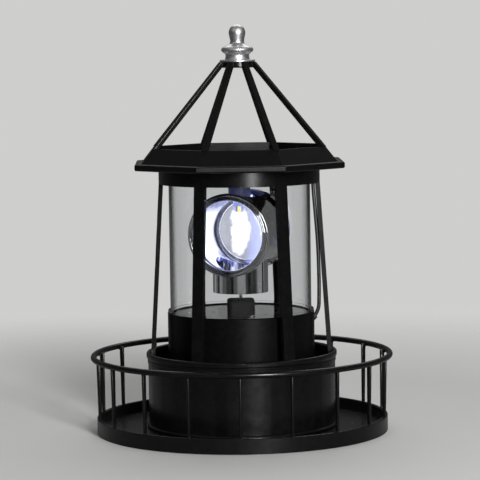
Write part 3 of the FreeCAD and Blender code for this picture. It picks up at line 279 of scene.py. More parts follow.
def level_group():
    """A value that drifts between a low and a high one, such as a roughness."""
    def fill(graph, given, out):
        drift = graph.noise(given["Vector"], given["Scale"], detail=5.0, roughness=0.65)
        graph.set(out["Value"], graph.ramp(drift, 0.3, 0.7, given["Low"], given["High"]))
    return group_of("level", "ShaderNodeTree", {
        "Vector": "Vector", "Scale": "Float", "Low": "Float", "High": "Float"},
        {"Value": "Float"}, fill)


def relief_group():
    """Height of a fine grain on a broad, shallow unevenness."""
    def fill(graph, given, out):
        fine = graph.noise(given["Vector"], given["Fine scale"], detail=3.0)
        broad = graph.noise(given["Vector"], given["Broad scale"], detail=2.0)
        fine_part = graph.times(fine, given["Fine share"])
        broad_part = graph.times(broad, graph.maths("SUBTRACT", 1.0, given["Fine share"]))
        graph.set(out["Height"], graph.maths("ADD", fine_part, broad_part))
    return group_of("relief", "ShaderNodeTree", {
        "Vector": "Vector", "Fine scale": "Float", "Broad scale": "Float",
        "Fine share": "Float"}, {"Height": "Float"}, fill)


def empty_graph(owner):
    """The node tree of a new material or world, with nothing in it."""
    owner.use_nodes = True
    owner.node_tree.nodes.clear()
    return Graph(owner.node_tree)


class Finish:
    """One material: a Principled shader, and the textures that feed it."""

    def __init__(self, name, **plain):
        self.material = bpy.data.materials.new(name)
        self.graph = empty_graph(self.material)
        self.shader = self.graph.add("ShaderNodeBsdfPrincipled", spaced(plain))
        output = self.graph.add("ShaderNodeOutputMaterial")
        self.graph.set(output.inputs["Surface"], self.shader.outputs["BSDF"])
        self.place = self.graph.add("ShaderNodeTexCoord").outputs["Object"]

    def stretched(self, scale):
        """Coordinates drawn out along an axis, for brushed and turned surfaces."""
        node = self.graph.add("ShaderNodeMapping", {"Vector": self.place, "Scale": scale})
        self.place = node.outputs["Vector"]
        return self

    def use(self, group, **inputs):
        """The result of a shared effect, with this material's values."""
        node = self.graph.add("ShaderNodeGroup", spaced(inputs), node_tree=group)
        self.graph.set(node.inputs["Vector"], self.place)
        return node.outputs[0]

    def clouded(self, dark, light, scale):
        return self.use(tone_group(), Dark=dark, Light=light, Scale=scale)

    def drifting(self, lowest, highest, scale):
        return self.use(level_group(), Low=lowest, High=highest, Scale=scale)

    def feed(self, socket, value):
        self.graph.set(self.shader.inputs[socket], value)
        return self

    def tones(self, dark, light, scale):
        """Two tones in clouds, of which about as many as the scale go into a metre."""
        return self.feed("Base Color", self.clouded(dark, light, scale))

    def roughness(self, lowest, highest, scale):
        return self.feed("Roughness", self.drifting(lowest, highest, scale))

    def relief(self, distance, fine_scale, broad_scale, fine_share=0.5):
        """A bump of so many metres, with a share of fine grain."""
        height = self.use(relief_group(), Fine_scale=fine_scale, Broad_scale=broad_scale,
                          Fine_share=fine_share)
        bump = self.graph.add("ShaderNodeBump", {
            "Strength": 1.0, "Distance": distance, "Height": height})
        return self.feed("Normal", bump.outputs["Normal"])


# ---------- finishes
def satin_black(paint):
    """Sprayed paint on sheet metal: a faint orange peel and a fine grain."""
    return (Finish("satin_black_paint", Specular_IOR_Level=0.25)
            .tones(paint.black, paint.black_light, 350)
            .roughness(0.22, 0.28, 260).relief(1.2e-6, 1500, 420, 0.15).material)


def black_plastic(paint, shine=0.22):
    """Spark-eroded moulded plastic, a little duller than the paint."""
    return (Finish("black_moulded_plastic", Specular_IOR_Level=shine)
            .tones(paint.plastic, paint.plastic_light, 500)
            .roughness(0.29, 0.38, 420).relief(1.8e-6, 2000, 600, 0.4).material)


def gloss_floor():
    return (Finish("cup_floor_gloss", Specular_IOR_Level=1.0, Coat_Weight=1.0)
            .tones((0.06, 0.06, 0.062), (0.085, 0.085, 0.087), 200)
            .roughness(0.10, 0.18, 240).relief(3e-6, 1200, 260, 0.3).material)


def cover_rubber():
    """The mottled, matt black of the cover round the shaft."""
    return (Finish("shaft_cover_rubber", Specular_IOR_Level=0.25)
            .tones((0.004, 0.004, 0.0042), (0.014, 0.014, 0.0145), 900)
            .roughness(0.5, 0.78, 800).relief(1.6e-5, 2400, 800, 0.6).material)


def lead_rubber():
    return (Finish("lead_sheath").tones((0.006, 0.006, 0.007), (0.012, 0.012, 0.013), 700)
            .roughness(0.28, 0.4, 500).relief(4e-6, 2500, 700).material)


def window_plastic():
    """Clear tube with faint upright streaks, and a painted shade that darkens it where it is seen
    edge on.
    """
    finish = Finish("window_clear", Transmission_Weight=1.0, IOR=1.46)
    # Painted shade: the base colour turns dark where the tube is seen edge on.
    facing = finish.graph.add("ShaderNodeLayerWeight", {"Blend": 0.5}).outputs["Facing"]
    edge_on = finish.graph.ramp(facing, 0.62, 0.96)
    finish.feed("Base Color", finish.graph.mix(edge_on, (0.91, 0.92, 0.93), (0.12, 0.125, 0.14)))
    return (finish.stretched((1, 1, 0.06)).roughness(0.0, 0.03, 160)
            .relief(1.2e-5, 700, 120, 0.2).material)


def clear_lens(name, strength=0.0):
    return (Finish(name, Base_Color=(0.95, 0.96, 1.0), Transmission_Weight=1.0, IOR=1.49,
                   Emission_Strength=strength)
            .roughness(0.0, 0.015, 300).relief(1.5e-6, 900, 200, 0.3))


def lens_plastic():
    return clear_lens("lens_clear").material


def glaring_lens(lamp):
    """The lens that the lamp's light falls on, with painted light: a tall painted glare, and a
    painted blue glow to one side.
    """
    finish = clear_lens("lens_clear_lit", lamp.strength)
    full_reach, least_reach, drift, blue_glow_half_width = 0.7, 1.25, 0.26, 3.0 * MM
    graph = finish.graph
    offset = graph.vector_maths("SUBTRACT", finish.place, centre("rear_lens"))
    side = graph.vector_maths("DOT_PRODUCT", offset, Vector((0, 0, 1)).cross(beacon_axis()))
    flat = graph.maths("DIVIDE", graph.maths("ADD", side, lamp.glare_shift),
                       lamp.glare_width / 2)
    tall = graph.maths("DIVIDE", graph.split(offset)["Z"], lamp.glare_height / 2)
    reach = graph.maths("SQRT", graph.maths(
        "ADD", graph.maths("POWER", flat, 2.0), graph.maths("POWER", tall, 2.0)))
    uneven = graph.maths("ADD", reach, finish.drifting(-drift, drift, 260))
    # The glare and the blue glow beside it are painted light, given as emission on a lens that is
    # no lamp.
    glare = graph.ramp(uneven, full_reach, least_reach, 1.0, 0.0)
    blue_glow_share = graph.ramp(side, -blue_glow_half_width, blue_glow_half_width)
    painted_blue_glow = graph.mix(blue_glow_share, (0.01, 0.01, 0.015), (0.10, 0.12, 0.34))
    return finish.feed("Emission Color", graph.mix(glare, painted_blue_glow, lamp.glow)).material


PLATING_TONES = (0.84, 0.84, 0.85), (0.9, 0.9, 0.91)
PLATING_CLOUDS = 220


def chrome():
    """Bright plating with a few faint smears."""
    return (Finish("chrome_plating", Metallic=1.0).tones(*PLATING_TONES, PLATING_CLOUDS)
            .roughness(0.02, 0.06, 180).relief(1.5e-6, 1400, 160, 0.2).material)


def glowing_chrome(lamp):
    """Plating with a painted glow in the middle of the barrel, as if the lamp lit it, and painted
    shade that darkens the bore at its ends.
    """
    finish = Finish("chrome_plating_lit", Metallic=1.0, Emission_Strength=lamp.strength)
    finish.roughness(0.02, 0.07, 180).relief(1.5e-6, 1400, 160, 0.2)
    bore_radius, bore_half_length, shade_from = 16.1 * MM, 15.2 * MM, 10.6 * MM
    full_height, least_height, cloud_depth = 8.5 * MM, 12.0 * MM, 0.8 * MM
    full_length, least_length = 8.0 * MM, 11.0 * MM
    graph = finish.graph
    offset = graph.vector_maths("SUBTRACT", finish.place, beacon_middle())
    along = graph.size_of(graph.vector_maths("DOT_PRODUCT", offset, beacon_axis()))
    across = graph.vector_maths("CROSS_PRODUCT", offset, beacon_axis())
    inside = graph.times(graph.below(graph.vector_maths("LENGTH", across), bore_radius),
                         graph.below(along, bore_half_length))
    rise = graph.maths("SUBTRACT", graph.split(finish.place)["Z"], beacon_middle().z)
    height = graph.maths("ADD", graph.size_of(rise),
                         finish.drifting(-cloud_depth, cloud_depth, 110))
    share = graph.times(graph.ramp(height, full_height, least_height, 1.0, 0.0),
                        graph.ramp(along, full_length, least_length, 1.0, 0.0))
    # Painted shade darkens the bore near its ends, and the rest of the bore gets a painted glow.
    shaded_ends = graph.times(inside, graph.over(along, shade_from))
    glowing = graph.maths("SUBTRACT", inside, shaded_ends)
    light = graph.mix(share, lamp.glow_edge, lamp.glow)
    finish.feed("Emission Color", graph.mix(glowing, (0, 0, 0), light))
    plating = finish.clouded(*PLATING_TONES, PLATING_CLOUDS)
    # Painted shade: the ends of the bore turn near black.
    return finish.feed("Base Color", graph.mix(shaded_ends, plating, (0.03, 0.032, 0.045))).material


def satin_silver():
    """The finial's satin silver, with the faintest rings of its turning."""
    return (Finish("finial_silver", Metallic=1.0).stretched((0.15, 0.15, 1))
            .tones((0.58, 0.58, 0.59), (0.63, 0.63, 0.64), 700)
            .roughness(0.38, 0.43, 700).relief(4e-7, 2500, 600, 0.5).material)


def plain_steel():
    return (Finish("plain_steel", Metallic=1.0)
            .tones((0.42, 0.42, 0.43), (0.56, 0.56, 0.57), 900)
            .roughness(0.24, 0.38, 700).relief(4e-6, 3500, 900).material)


def brushed_can():
    return (Finish("brushed_can", Metallic=1.0).stretched((0.08, 1, 1))
            .tones((0.45, 0.45, 0.46), (0.6, 0.6, 0.6), 1500)
            .roughness(0.26, 0.4, 1500).relief(4e-6, 4000, 1200).material)


def gear_plastic():
    return (Finish("gear_natural").tones((0.66, 0.65, 0.6), (0.74, 0.73, 0.68), 300)
            .roughness(0.36, 0.5, 400).relief(5e-6, 2500, 500).material)


def turned_brass():
    return (Finish("turned_brass", Metallic=1.0).stretched((0.2, 0.2, 1))
            .tones((0.55, 0.36, 0.12), (0.68, 0.47, 0.18), 1200)
            .roughness(0.2, 0.34, 1200).relief(4e-6, 4000, 1200).material)


def holder_plastic(lamp):
    """White plastic round the lamp, painted a shaded blue as if in the lamp's light, with a
    painted blue glow at its foot.
    """
    finish = Finish("holder_white", Emission_Strength=lamp.strength / 4)
    # Painted glow: emission at the holder's foot that fades upward.
    bottom, glow_reach = low("led_holder").z, 9 * MM
    fade = finish.graph.ramp(finish.graph.split(finish.place)["Z"], bottom, bottom + glow_reach,
                             1.0, 0.0)
    finish.feed("Emission Color", finish.graph.mix(fade, (0, 0, 0), lamp.glow_edge))
    # These dark blue tones are painted shade and painted lamplight, not the white of the plastic.
    return (finish.tones((0.12, 0.13, 0.21), (0.2, 0.22, 0.33), 220)
            .roughness(0.3, 0.42, 400).relief(5e-6, 2500, 500).material)


def lit_resin(lamp):
    """The lamp's resin, with its yellow chip showing through the tip."""
    finish = Finish("lamp_resin_lit", Emission_Strength=lamp.strength)
    chip_half_width, chip_height = 0.8 * MM, 3.2 * MM
    graph = finish.graph
    place = graph.split(finish.place)
    chip = graph.times(graph.below(graph.size_of(place["X"]), chip_half_width),
                       graph.below(place["Z"], low("lamp_led").z + chip_height))
    sheen = finish.clouded(lamp.glow_edge, (0.25, 0.3, 0.6), 700)
    finish.feed("Emission Color", graph.mix(chip, sheen, (0.85, 0.72, 0.03)))
    return (finish.tones((0.5, 0.55, 0.7), (0.6, 0.65, 0.8), 500)
            .roughness(0.08, 0.16, 500).material)


def board_green():
    """Green solder mask with lighter tracks under it."""
    finish = Finish("board_green_mask")
    tracks = finish.graph.add("ShaderNodeTexBrick", {
        "Vector": finish.place, "Scale": 260.0, "Mortar Size": 0.05,
        "Color1": (0.012, 0.10, 0.035), "Color2": (0.015, 0.12, 0.045),
        "Mortar": (0.03, 0.2, 0.08)})
    return (finish.feed("Base Color", tracks.outputs["Color"])
            .roughness(0.2, 0.34, 600).relief(8e-6, 1800, 500, 0.3).material)


def cell_silicon():
    """Blue-black cells crossed by hair-thin printed silver fingers."""
    finish = Finish("solar_silicon", Specular_IOR_Level=0.6)
    fingers_in_a_metre, finger_share = 800.0, 0.08
    graph = finish.graph
    row = graph.maths("FRACT", graph.times(graph.split(finish.place)["Y"], fingers_in_a_metre))
    blue = finish.clouded((0.004, 0.007, 0.032), (0.008, 0.014, 0.06), 260)
    finger = graph.below(row, finger_share)
    return (finish.feed("Base Color", graph.mix(finger, blue, (0.12, 0.13, 0.16)))
            .roughness(0.24, 0.36, 400).material)


def resin_cover():
    return (Finish("solar_resin", Base_Color=(0.96, 0.97, 0.98), Transmission_Weight=1.0, IOR=1.5)
            .roughness(0.0, 0.03, 200).relief(1.5e-6, 500, 90, 0.2).material)


def panel_backing():
    return (Finish("panel_backing_board").tones((0.006, 0.007, 0.012), (0.01, 0.011, 0.018), 500)
            .roughness(0.35, 0.5, 400).relief(3e-6, 2500, 500).material)


def tinned_ribbon():
    return (Finish("tinned_ribbon", Metallic=1.0)
            .tones((0.3, 0.31, 0.33), (0.4, 0.41, 0.43), 1500)
            .roughness(0.35, 0.5, 1500).relief(3e-6, 3000, 900).material)


def cell_jacket():
    """A plain film jacket that leaves the cell's two ends bare metal."""
    finish = Finish("battery_jacket")
    bare_foot, bare_cap = 1.2 * MM, 2.4 * MM
    graph = finish.graph
    along = graph.split(finish.place)["X"]
    bare = graph.maths("ADD", graph.below(along, low("battery").x + bare_foot),
                       graph.over(along, high("battery").x - bare_cap))
    film = finish.clouded((0.02, 0.16, 0.05), (0.03, 0.21, 0.07), 200)
    return (finish.feed("Base Color", graph.mix(bare, film, (0.55, 0.55, 0.56)))
            .feed("Metallic", bare)
            .roughness(0.22, 0.34, 300).relief(6e-6, 900, 200, 0.3).material)


# ---------- shared modelling
def new_object(name, data):
    made = bpy.data.objects.new(name, data)
    bpy.context.scene.collection.objects.link(made)
    return made


def smoothed(mesh, sharp_from=SHARP_FROM):
    """A mesh that is smooth but for its sharp edges."""
    mesh.shade_smooth()
    mesh.set_sharp_from_angle(angle=sharp_from)
    return mesh


def mesh_from(name, shape):
    """A smoothed mesh from a bmesh, whose use ends here."""
    mesh = bpy.data.meshes.new(name)
    shape.to_mesh(mesh)
    shape.free()
    return smoothed(mesh)


def welded(shape):
    bmesh.ops.remove_doubles(shape, verts=shape.verts, dist=WELD_DISTANCE)
    bmesh.ops.recalc_face_normals(shape, faces=shape.faces)
    return shape


def lathe(name, profile, steps=48):
    """A piece turned about Z from (radius, height) points, from its bottom to its top."""
    shape = bmesh.new()
    rings = []
    for radius, height in profile:
        if radius < ON_AXIS:
            rings.append([shape.verts.new((0, 0, height))] * steps)
            continue
        turns = [math.tau * step / steps for step in range(steps)]
        rings.append([shape.verts.new((radius * math.cos(turn), radius * math.sin(turn), height))
                      for turn in turns])
    for first, second in zip(rings, rings[1:]):
        for step in range(steps):
            after = (step + 1) % steps
            corners = [first[step], first[after], second[after], second[step]]
            shape.faces.new(list(dict.fromkeys(corners)))
    return new_object(name, mesh_from(name, welded(shape)))


def slab(name, lowest, highest, bevel=0.0, segments=2):
    """A block between two corners, with its edges rounded."""
    shape = bmesh.new()
    bmesh.ops.create_cube(shape, size=1)
    size = Vector(highest) - Vector(lowest)
    middle = (Vector(highest) + Vector(lowest)) / 2
    bmesh.ops.transform(
        shape, matrix=Matrix.Translation(middle) @ Matrix.Diagonal((*size, 1)), verts=shape.verts)
    if bevel:
        bmesh.ops.bevel(shape, geom=shape.edges, offset=bevel, segments=segments, profile=0.5,
                        affect="EDGES")
    return new_object(name, mesh_from(name, welded(shape)))


def moved(piece, matrix):
    """Put a piece's place into its mesh."""
    piece.data.transform(matrix)
    return piece


def merged(name, pieces):
    """Several pieces as one mesh."""
    shape = bmesh.new()
    for piece in pieces:
        shape.from_mesh(piece.data)
        bpy.data.objects.remove(piece)
    return new_object(name, mesh_from(name, shape))


def wire_along(name, points, radius):
    """A round wire through points."""
    curve = bpy.data.curves.new(name, "CURVE")
    curve.dimensions = "3D"
    curve.bevel_depth = radius
    curve.bevel_resolution = 3
    curve.use_fill_caps = True
    line = curve.splines.new("POLY")
    line.points.add(len(points) - 1)
    for point, place in zip(line.points, points):
        point.co = (*place, 1)
    return settled(new_object(name, curve))


def settled(piece):
    """A new object with the piece's evaluated shape as a plain mesh."""
    bpy.context.view_layer.update()
    evaluated = piece.evaluated_get(bpy.context.evaluated_depsgraph_get())
    mesh = bpy.data.meshes.new_from_object(evaluated)
    name = piece.name
    bpy.data.objects.remove(piece)
    return new_object(name, mesh)


def coated(piece, material):
    piece.data.materials.clear()
    piece.data.materials.append(material)
    return piece


def carried(piece, body, slot, *nodes):
    """Let a piece move with a body, instead of some nodes. The slot is not used."""
    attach(piece, body)
    if nodes:
        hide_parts(*nodes)


def finish_nodes(material, *nodes):
    """Give carried-over nodes their material."""
    for node in nodes:
        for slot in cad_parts[node].material_slots:
            slot.material = material


# ---------- geometry trees for what repeats
def end_tree(graph, instances, given, out):
    """Make the copies real and give them their material."""
    real = graph.add("GeometryNodeRealizeInstances", {"Geometry": instances})
    coat = graph.add("GeometryNodeSetMaterial", {
        "Geometry": real.outputs["Geometry"], "Material": given["Material"]})
    graph.set(out["Geometry"], coat.outputs["Geometry"])


def circle_tree():
    """Copies of the given shape, spaced evenly round an upright axis."""
    def fill(graph, given, out):
        circle = graph.add("GeometryNodeMeshCircle", {
            "Vertices": given["Count"], "Radius": given["Circle"]})
        index = graph.add("GeometryNodeInputIndex").outputs[0]
        way = graph.times(index, graph.maths("DIVIDE", math.tau, given["Count"]))
        clock = graph.add("FunctionNodeRandomValue", {
            "Min": 0.0, "Max": given["Clocking"], "Seed": SCREW_TURN_SEED})
        spin = graph.maths("ADD", way, clock.outputs["Value"])
        copies = graph.add("GeometryNodeInstanceOnPoints", {
            "Points": circle.outputs["Mesh"], "Instance": given["Geometry"],
            "Rotation": graph.combine(Z=spin)})
        placed = graph.add("GeometryNodeTransform", {
            "Geometry": copies.outputs["Instances"],
            "Translation": graph.combine(Z=given["Height"]),
            "Rotation": graph.combine(Z=given["First angle"])})
        end_tree(graph, placed.outputs["Geometry"], given, out)
    return group_of("copies_round_circle", "GeometryNodeTree", {
        "Geometry": "Geometry", "Count": "Int", "Circle": "Float", "First angle": "Float",
        "Height": "Float", "Clocking": "Float", "Material": "Material"},
        {"Geometry": "Geometry"}, fill)


def strip_tree():
    """Thin strips side by side."""
    def fill(graph, given, out):
        row = graph.add("GeometryNodeMeshLine", {
            "Count": given["Count"], "Start Location": given["Start"],
            "Offset": graph.combine(X=given["Pitch"])})
        size = graph.combine(X=given["Width"], Y=given["Length"], Z=given["Thickness"])
        strip = graph.add("GeometryNodeMeshCube", {"Size": size})
        copies = graph.add("GeometryNodeInstanceOnPoints", {
            "Points": row.outputs["Mesh"], "Instance": strip.outputs["Mesh"]})
        end_tree(graph, copies.outputs["Instances"], given, out)
    return group_of("strips_in_a_row", "GeometryNodeTree", {
        "Geometry": "Geometry", "Count": "Int", "Start": "Vector", "Pitch": "Float",
        "Width": "Float", "Length": "Float", "Thickness": "Float", "Material": "Material"},
        {"Geometry": "Geometry"}, fill)


def grown(piece, tree, **inputs):
    """Run a geometry tree on a piece and keep its result as a plain mesh."""
    modifier = piece.modifiers.new(tree.name, "NODES")
    modifier.node_group = tree
    sockets = {item.name: item.identifier for item in tree.interface.items_tree
               if item.in_out == "INPUT"}
    for name, value in spaced(inputs).items():
        modifier[sockets[name]] = value
    return settled(piece)


# ---------- pieces
def cross_screw(name, head, height, shank, reach):
    """A round-headed screw with a cross recess, its head up and its seat at z 0."""
    edge, seat_radius = height * 0.18, head * 0.97
    tip_radius, taper = shank * 0.55, shank * 0.8
    profile = [(0, -reach), (tip_radius, -reach), (shank, -reach + taper), (shank, 0),
               (seat_radius, 0), (head, edge)]
    for angle in map(math.radians, range(15, 90, 15)):
        profile.append((head * math.cos(angle), edge + (height - edge) * math.sin(angle)))
    screw = lathe(name, profile + [(0, height)], steps=32)
    arm, half_width, bottom, clear = head * 0.62, head * 0.15, height * 0.38, height * 1.5
    for across, along in ((arm, half_width), (half_width, arm)):
        bar = slab("recess_bar", (-across, -along, bottom), (across, along, clear))
        cut = screw.modifiers.new("recess", "BOOLEAN")
        cut.object = bar
        cut.solver = "EXACT"
        screw = settled(screw)
        bpy.data.objects.remove(bar)
    smoothed(screw.data)
    return screw


def screw_ring(node, count, circle, first, heads_up, head, shank, head_height, material):
    """The screws of one node, with their heads worked out."""
    reach = high(node).z - low(node).z - head_height
    screw = cross_screw(node + "_cross", head, head_height, shank, reach)
    seat = high(node).z - head_height
    if not heads_up:
        moved(screw, Matrix.Rotation(math.pi, 4, "X"))
        seat = low(node).z + head_height
    ring = grown(screw, circle_tree(), Count=count, Circle=circle, First_angle=math.radians(first),
                 Height=seat, Clocking=math.pi, Material=material)
    carried(ring, "root", "steel", node)


def baluster(bottom, top, sizes):
    """A bar with rounded edges, whose outer side flares out to its top."""
    half_width = sizes.bar_width / 2
    bar = slab("bar", (0, -half_width, bottom), (sizes.bar_depth, half_width, top))
    for vertex in bar.data.vertices:
        if vertex.co.x > sizes.bar_depth / 2 and vertex.co.z > (bottom + top) / 2:
            vertex.co.x += sizes.bar_flare
    edge = bar.modifiers.new("rounding", "BEVEL")
    edge.width = sizes.bar_rounding
    edge.segments = 3
    bar = settled(bar)
    smoothed(bar.data, math.radians(50))
    return bar


def weld_bead(name, radius, squash, widening=1.15):
    """A bead that is a little wider across the bar than along it, and flattened."""
    turns = [math.radians(angle) for angle in range(-60, 90, 30)]
    side = [(radius * math.cos(turn), radius * math.sin(turn)) for turn in turns]
    bead = lathe(name, [(0, -radius), *side, (0, radius)], steps=12)
    return moved(bead, Matrix.Diagonal((1, widening, squash, 1)))


class LIGHTHOUSE_OT_gallery(bpy.types.Operator):
    """Paint the gallery, and build its bars and their weld beads"""

    bl_idname = "lighthouse.gallery"
    bl_label = "Gallery"

    def execute(self, context):
        sizes = context.scene.lighthouse_details
        paint = satin_black(context.scene.lighthouse_paint)
        finish_nodes(paint, "gallery_tray", "gallery_rail")
        tray, rail = high("gallery_tray"), high("gallery_rail")
        rail_middle = centre("gallery_rail").z
        rail_circle = rail.x - (rail.z - rail_middle)
        spread = {"Count": sizes.baluster_count, "First_angle": sizes.baluster_turn,
                  "Material": paint}
        foot_inset, top_inset, top_drop = 1.0 * MM, 0.9 * MM, 0.95 * MM
        for name, circle, height, squash in (
                ("bar_foot_beads", tray.x - foot_inset, tray.z, 0.45),
                ("bar_top_beads", rail_circle - top_inset, rail_middle - top_drop, 0.8)):
            beads = grown(weld_bead(name, sizes.bead_radius, squash), circle_tree(),
                          Circle=circle, Height=height, **spread)
            carried(beads, "root", "satin_black")
        bars = grown(baluster(tray.z, high("gallery_balusters").z, sizes), circle_tree(),
                     Circle=sizes.bar_circle, **spread)
        carried(bars, "root", "satin_black", "gallery_balusters")
        return {"FINISHED"}


class LIGHTHOUSE_OT_drum(bpy.types.Operator):
    """Paint the drum"""

    bl_idname = "lighthouse.drum"
    bl_label = "Drum"

    def execute(self, context):
        finish_nodes(satin_black(context.scene.lighthouse_paint), "drum_shell")
        return {"FINISHED"}


class LIGHTHOUSE_OT_cup(bpy.types.Operator):
    """Finish the lamp cup, its floor, the cover of the shaft and the lead"""

    bl_idname = "lighthouse.cup"
    bl_label = "Lamp cup and lead"

    def execute(self, context):
        finish_nodes(black_plastic(context.scene.lighthouse_paint, shine=0.08), "lamp_cup")
        finish_nodes(gloss_floor(), "cup_floor")
        finish_nodes(cover_rubber(), "shaft_cover")
        finish_nodes(lead_rubber(), "power_lead", "lead_grommet")
        return {"FINISHED"}


class LIGHTHOUSE_OT_window(bpy.types.Operator):
    """Finish the clear window and the frame that holds it"""

    bl_idname = "lighthouse.window"
    bl_label = "Window and frame"

    def execute(self, context):
        finish_nodes(window_plastic(), "window_glass")
        finish_nodes(satin_black(context.scene.lighthouse_paint), "lantern_frame")
        return {"FINISHED"}


# The finial's radius in millimetres at shares of its height: its disc, and what is turned above
FINIAL_DISC = ((7.35, 0.0), (7.6, 0.018), (7.6, 0.045), (7.3, 0.063))
FINIAL_TURNING = (
    (5.35, 0.066), (5.2, 0.1), (5.05, 0.15), (5.1, 0.2), (5.6, 0.235), (6.5, 0.275),
    (6.88, 0.325), (6.5, 0.38), (5.5, 0.42), (4.2, 0.45), (3.4, 0.48), (3.02, 0.52),
    (2.98, 0.57), (3.25, 0.66), (3.58, 0.77), (3.35, 0.85), (2.75, 0.92), (1.6, 0.975), (0, 1))


def smooth_line(points, steps):
    """A rounded line through points, as a Catmull-Rom curve."""
    line = []
    padded = [points[0], *points, points[-1]]
    for corners in zip(padded, padded[1:], padded[2:], padded[3:]):
        for step in range(steps):
            t = step / steps
            line.append(tuple(max(0.0, 0.5 * (
                2 * b + (c - a) * t + (2 * a - 5 * b + 4 * c - d) * t * t
                + (3 * b - a - 3 * c + d) * t ** 3)) for a, b, c, d in zip(*corners)))
    return line + [points[-1]]


class LIGHTHOUSE_OT_roof(bpy.types.Operator):
    """Finish the roof hood, its rods and the finial"""

    bl_idname = "lighthouse.roof"
    bl_label = "Roof"

    def execute(self, context):
        paint = context.scene.lighthouse_paint
        finish_nodes(black_plastic(paint), "roof_hood", "panel_bezel")
        finish_nodes(satin_black(paint), "roof_rods", "roof_hub")
        base = high("roof_hub").z
        height = high("finial").z - base
        disc, turning = ([(radius * MM, base + height * share) for radius, share in part]
                         for part in (FINIAL_DISC, FINIAL_TURNING))
        profile = [(0, base), *disc, *smooth_line(turning, steps=4)]
        turned = lathe("finial_turned", profile, steps=64)
        carried(coated(turned, satin_silver()), "root", "satin_silver", "finial")
        return {"FINISHED"}


class LIGHTHOUSE_OT_panel(bpy.types.Operator):
    """Build the solar panel: its cells, their ribbons and the clear resin over them"""

    bl_idname = "lighthouse.panel"
    bl_label = "Solar panel"

    def execute(self, context):
        count = context.scene.lighthouse_details.cell_strips
        lowest, highest = low("solar_panel"), high("solar_panel")
        margin, gap, thickness, ribbon = 1.8 * MM, 0.5 * MM, 0.12 * MM, 0.6 * MM
        board, ribbon_lift, ribbon_thickness = 0.5 * MM, thickness * 1.4, thickness * 0.6
        side = highest.x - lowest.x
        width = (side - margin * 2 - gap * (count - 1)) / count
        first = lowest.x + margin + width / 2
        board_top = lowest.z + board
        backing = slab("panel_backing", lowest, (highest.x, highest.y, board_top))
        carried(coated(backing, panel_backing()), "root", "solar_cells")
        cells = {"Start": (first, 0, board_top + thickness / 2), "Width": width,
                 "Length": side - margin * 2, "Thickness": thickness}
        ribbons = {"Start": (first - ribbon / 2, 0, board_top + ribbon_lift), "Width": ribbon,
                   "Length": side - margin * 2.4, "Thickness": ribbon_thickness}
        for name, sizes, material in (("cell_strips", cells, cell_silicon()),
                                      ("cell_ribbons", ribbons, tinned_ribbon())):
            seed = slab(name, (0, 0, 0), (MM, MM, MM))
            strips = grown(seed, strip_tree(), Count=count, Pitch=width + gap, Material=material,
                           **sizes)
            carried(strips, "root", "solar_cells")
        cover = slab("panel_resin", (lowest.x, lowest.y, board_top + thickness * 2), highest,
                     bevel=0.25 * MM, segments=3)
        carried(coated(cover, resin_cover()), "root", "solar_cells", "solar_panel")
        return {"FINISHED"}


# The rolls of a lens ring's trim in millimetres: radius, half width and rise over the ring
OUTER_ROLL = 16.9, 0.8, -0.05
INNER_ROLL = 15.3, 0.5, 0.45
TRIM_INNER, TRIM_OUTER, TRIM_DEPTH = 14.85 * MM, 17.6 * MM, 0.6 * MM

DOME_RISE = 6.2 * MM
DOME_WALL = 1.1 * MM
DOME_RADIUS, HOLLOW_RADIUS, FLANGE_RADIUS = 15.85 * MM, 14.8 * MM, 16.55 * MM


def trim_profile(face):
    """A lens ring's trim: an outer roll, a groove and a thinner inner roll."""
    points = []
    for middle, roll, height in (OUTER_ROLL, INNER_ROLL):
        for step in range(9):
            angle = math.pi * step / 8
            points.append(((middle + roll * math.cos(angle)) * MM,
                           face + (height + roll * math.sin(angle)) * MM))
    back = face - TRIM_DEPTH
    return points + [(TRIM_INNER, back), (TRIM_OUTER, back), points[0]]


def cap_line(radius, base, rise, steps=12):
    """Points on a round cap, from the middle of its top to its edge."""
    curve = (radius * radius + rise * rise) / (rise * 2)
    angles = [math.asin(radius / curve) * step / steps for step in range(steps + 1)]
    return [(curve * math.sin(angle), base + rise - curve * (1 - math.cos(angle)))
            for angle in angles]


def dome_profile(crown):
    """A thin domed lens with a flange, from the middle of its hollow to its crown."""
    seat = crown - DOME_RISE
    back = seat - DOME_WALL
    outside = cap_line(DOME_RADIUS, seat, DOME_RISE)
    return (cap_line(HOLLOW_RADIUS, back, DOME_RISE)
            + [(FLANGE_RADIUS, back), (FLANGE_RADIUS, seat)] + outside[::-1])


class LIGHTHOUSE_OT_head(bpy.types.Operator):
    """Finish the turning head and build its lenses and their trims"""

    bl_idname = "lighthouse.head"
    bl_label = "Beacon head"

    def execute(self, context):
        lamp = context.scene.lighthouse_lamp
        bright = chrome()
        finish_nodes(glowing_chrome(lamp), "head_body")
        finish_nodes(bright, "front_lens_ring", "rear_lens_ring")
        finish_nodes(plain_steel(), "drive_shaft")
        way, middle = beacon_axis(), beacon_middle()
        half_ring = 2.45 * MM
        face = (centre("front_lens_ring") - middle).length + half_ring
        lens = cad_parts["front_lens"].data.vertices
        crown = (max((Vector(vertex.co) for vertex in lens), key=way.dot) - middle).length
        for side, sense, clear in (("front", 1, lens_plastic()), ("rear", -1, glaring_lens(lamp))):
            turn = (way * sense).to_track_quat("Z", "Y").to_matrix().to_4x4()
            place = Matrix.Translation(middle) @ turn
            trim = moved(lathe(side + "_trim", trim_profile(face), steps=96), place)
            carried(coated(trim, bright), "beacon", "chrome")
            dome = moved(lathe(side + "_dome", dome_profile(crown), steps=96), place)
            carried(coated(dome, clear), "beacon", "clear_lens", side + "_lens")
        return {"FINISHED"}


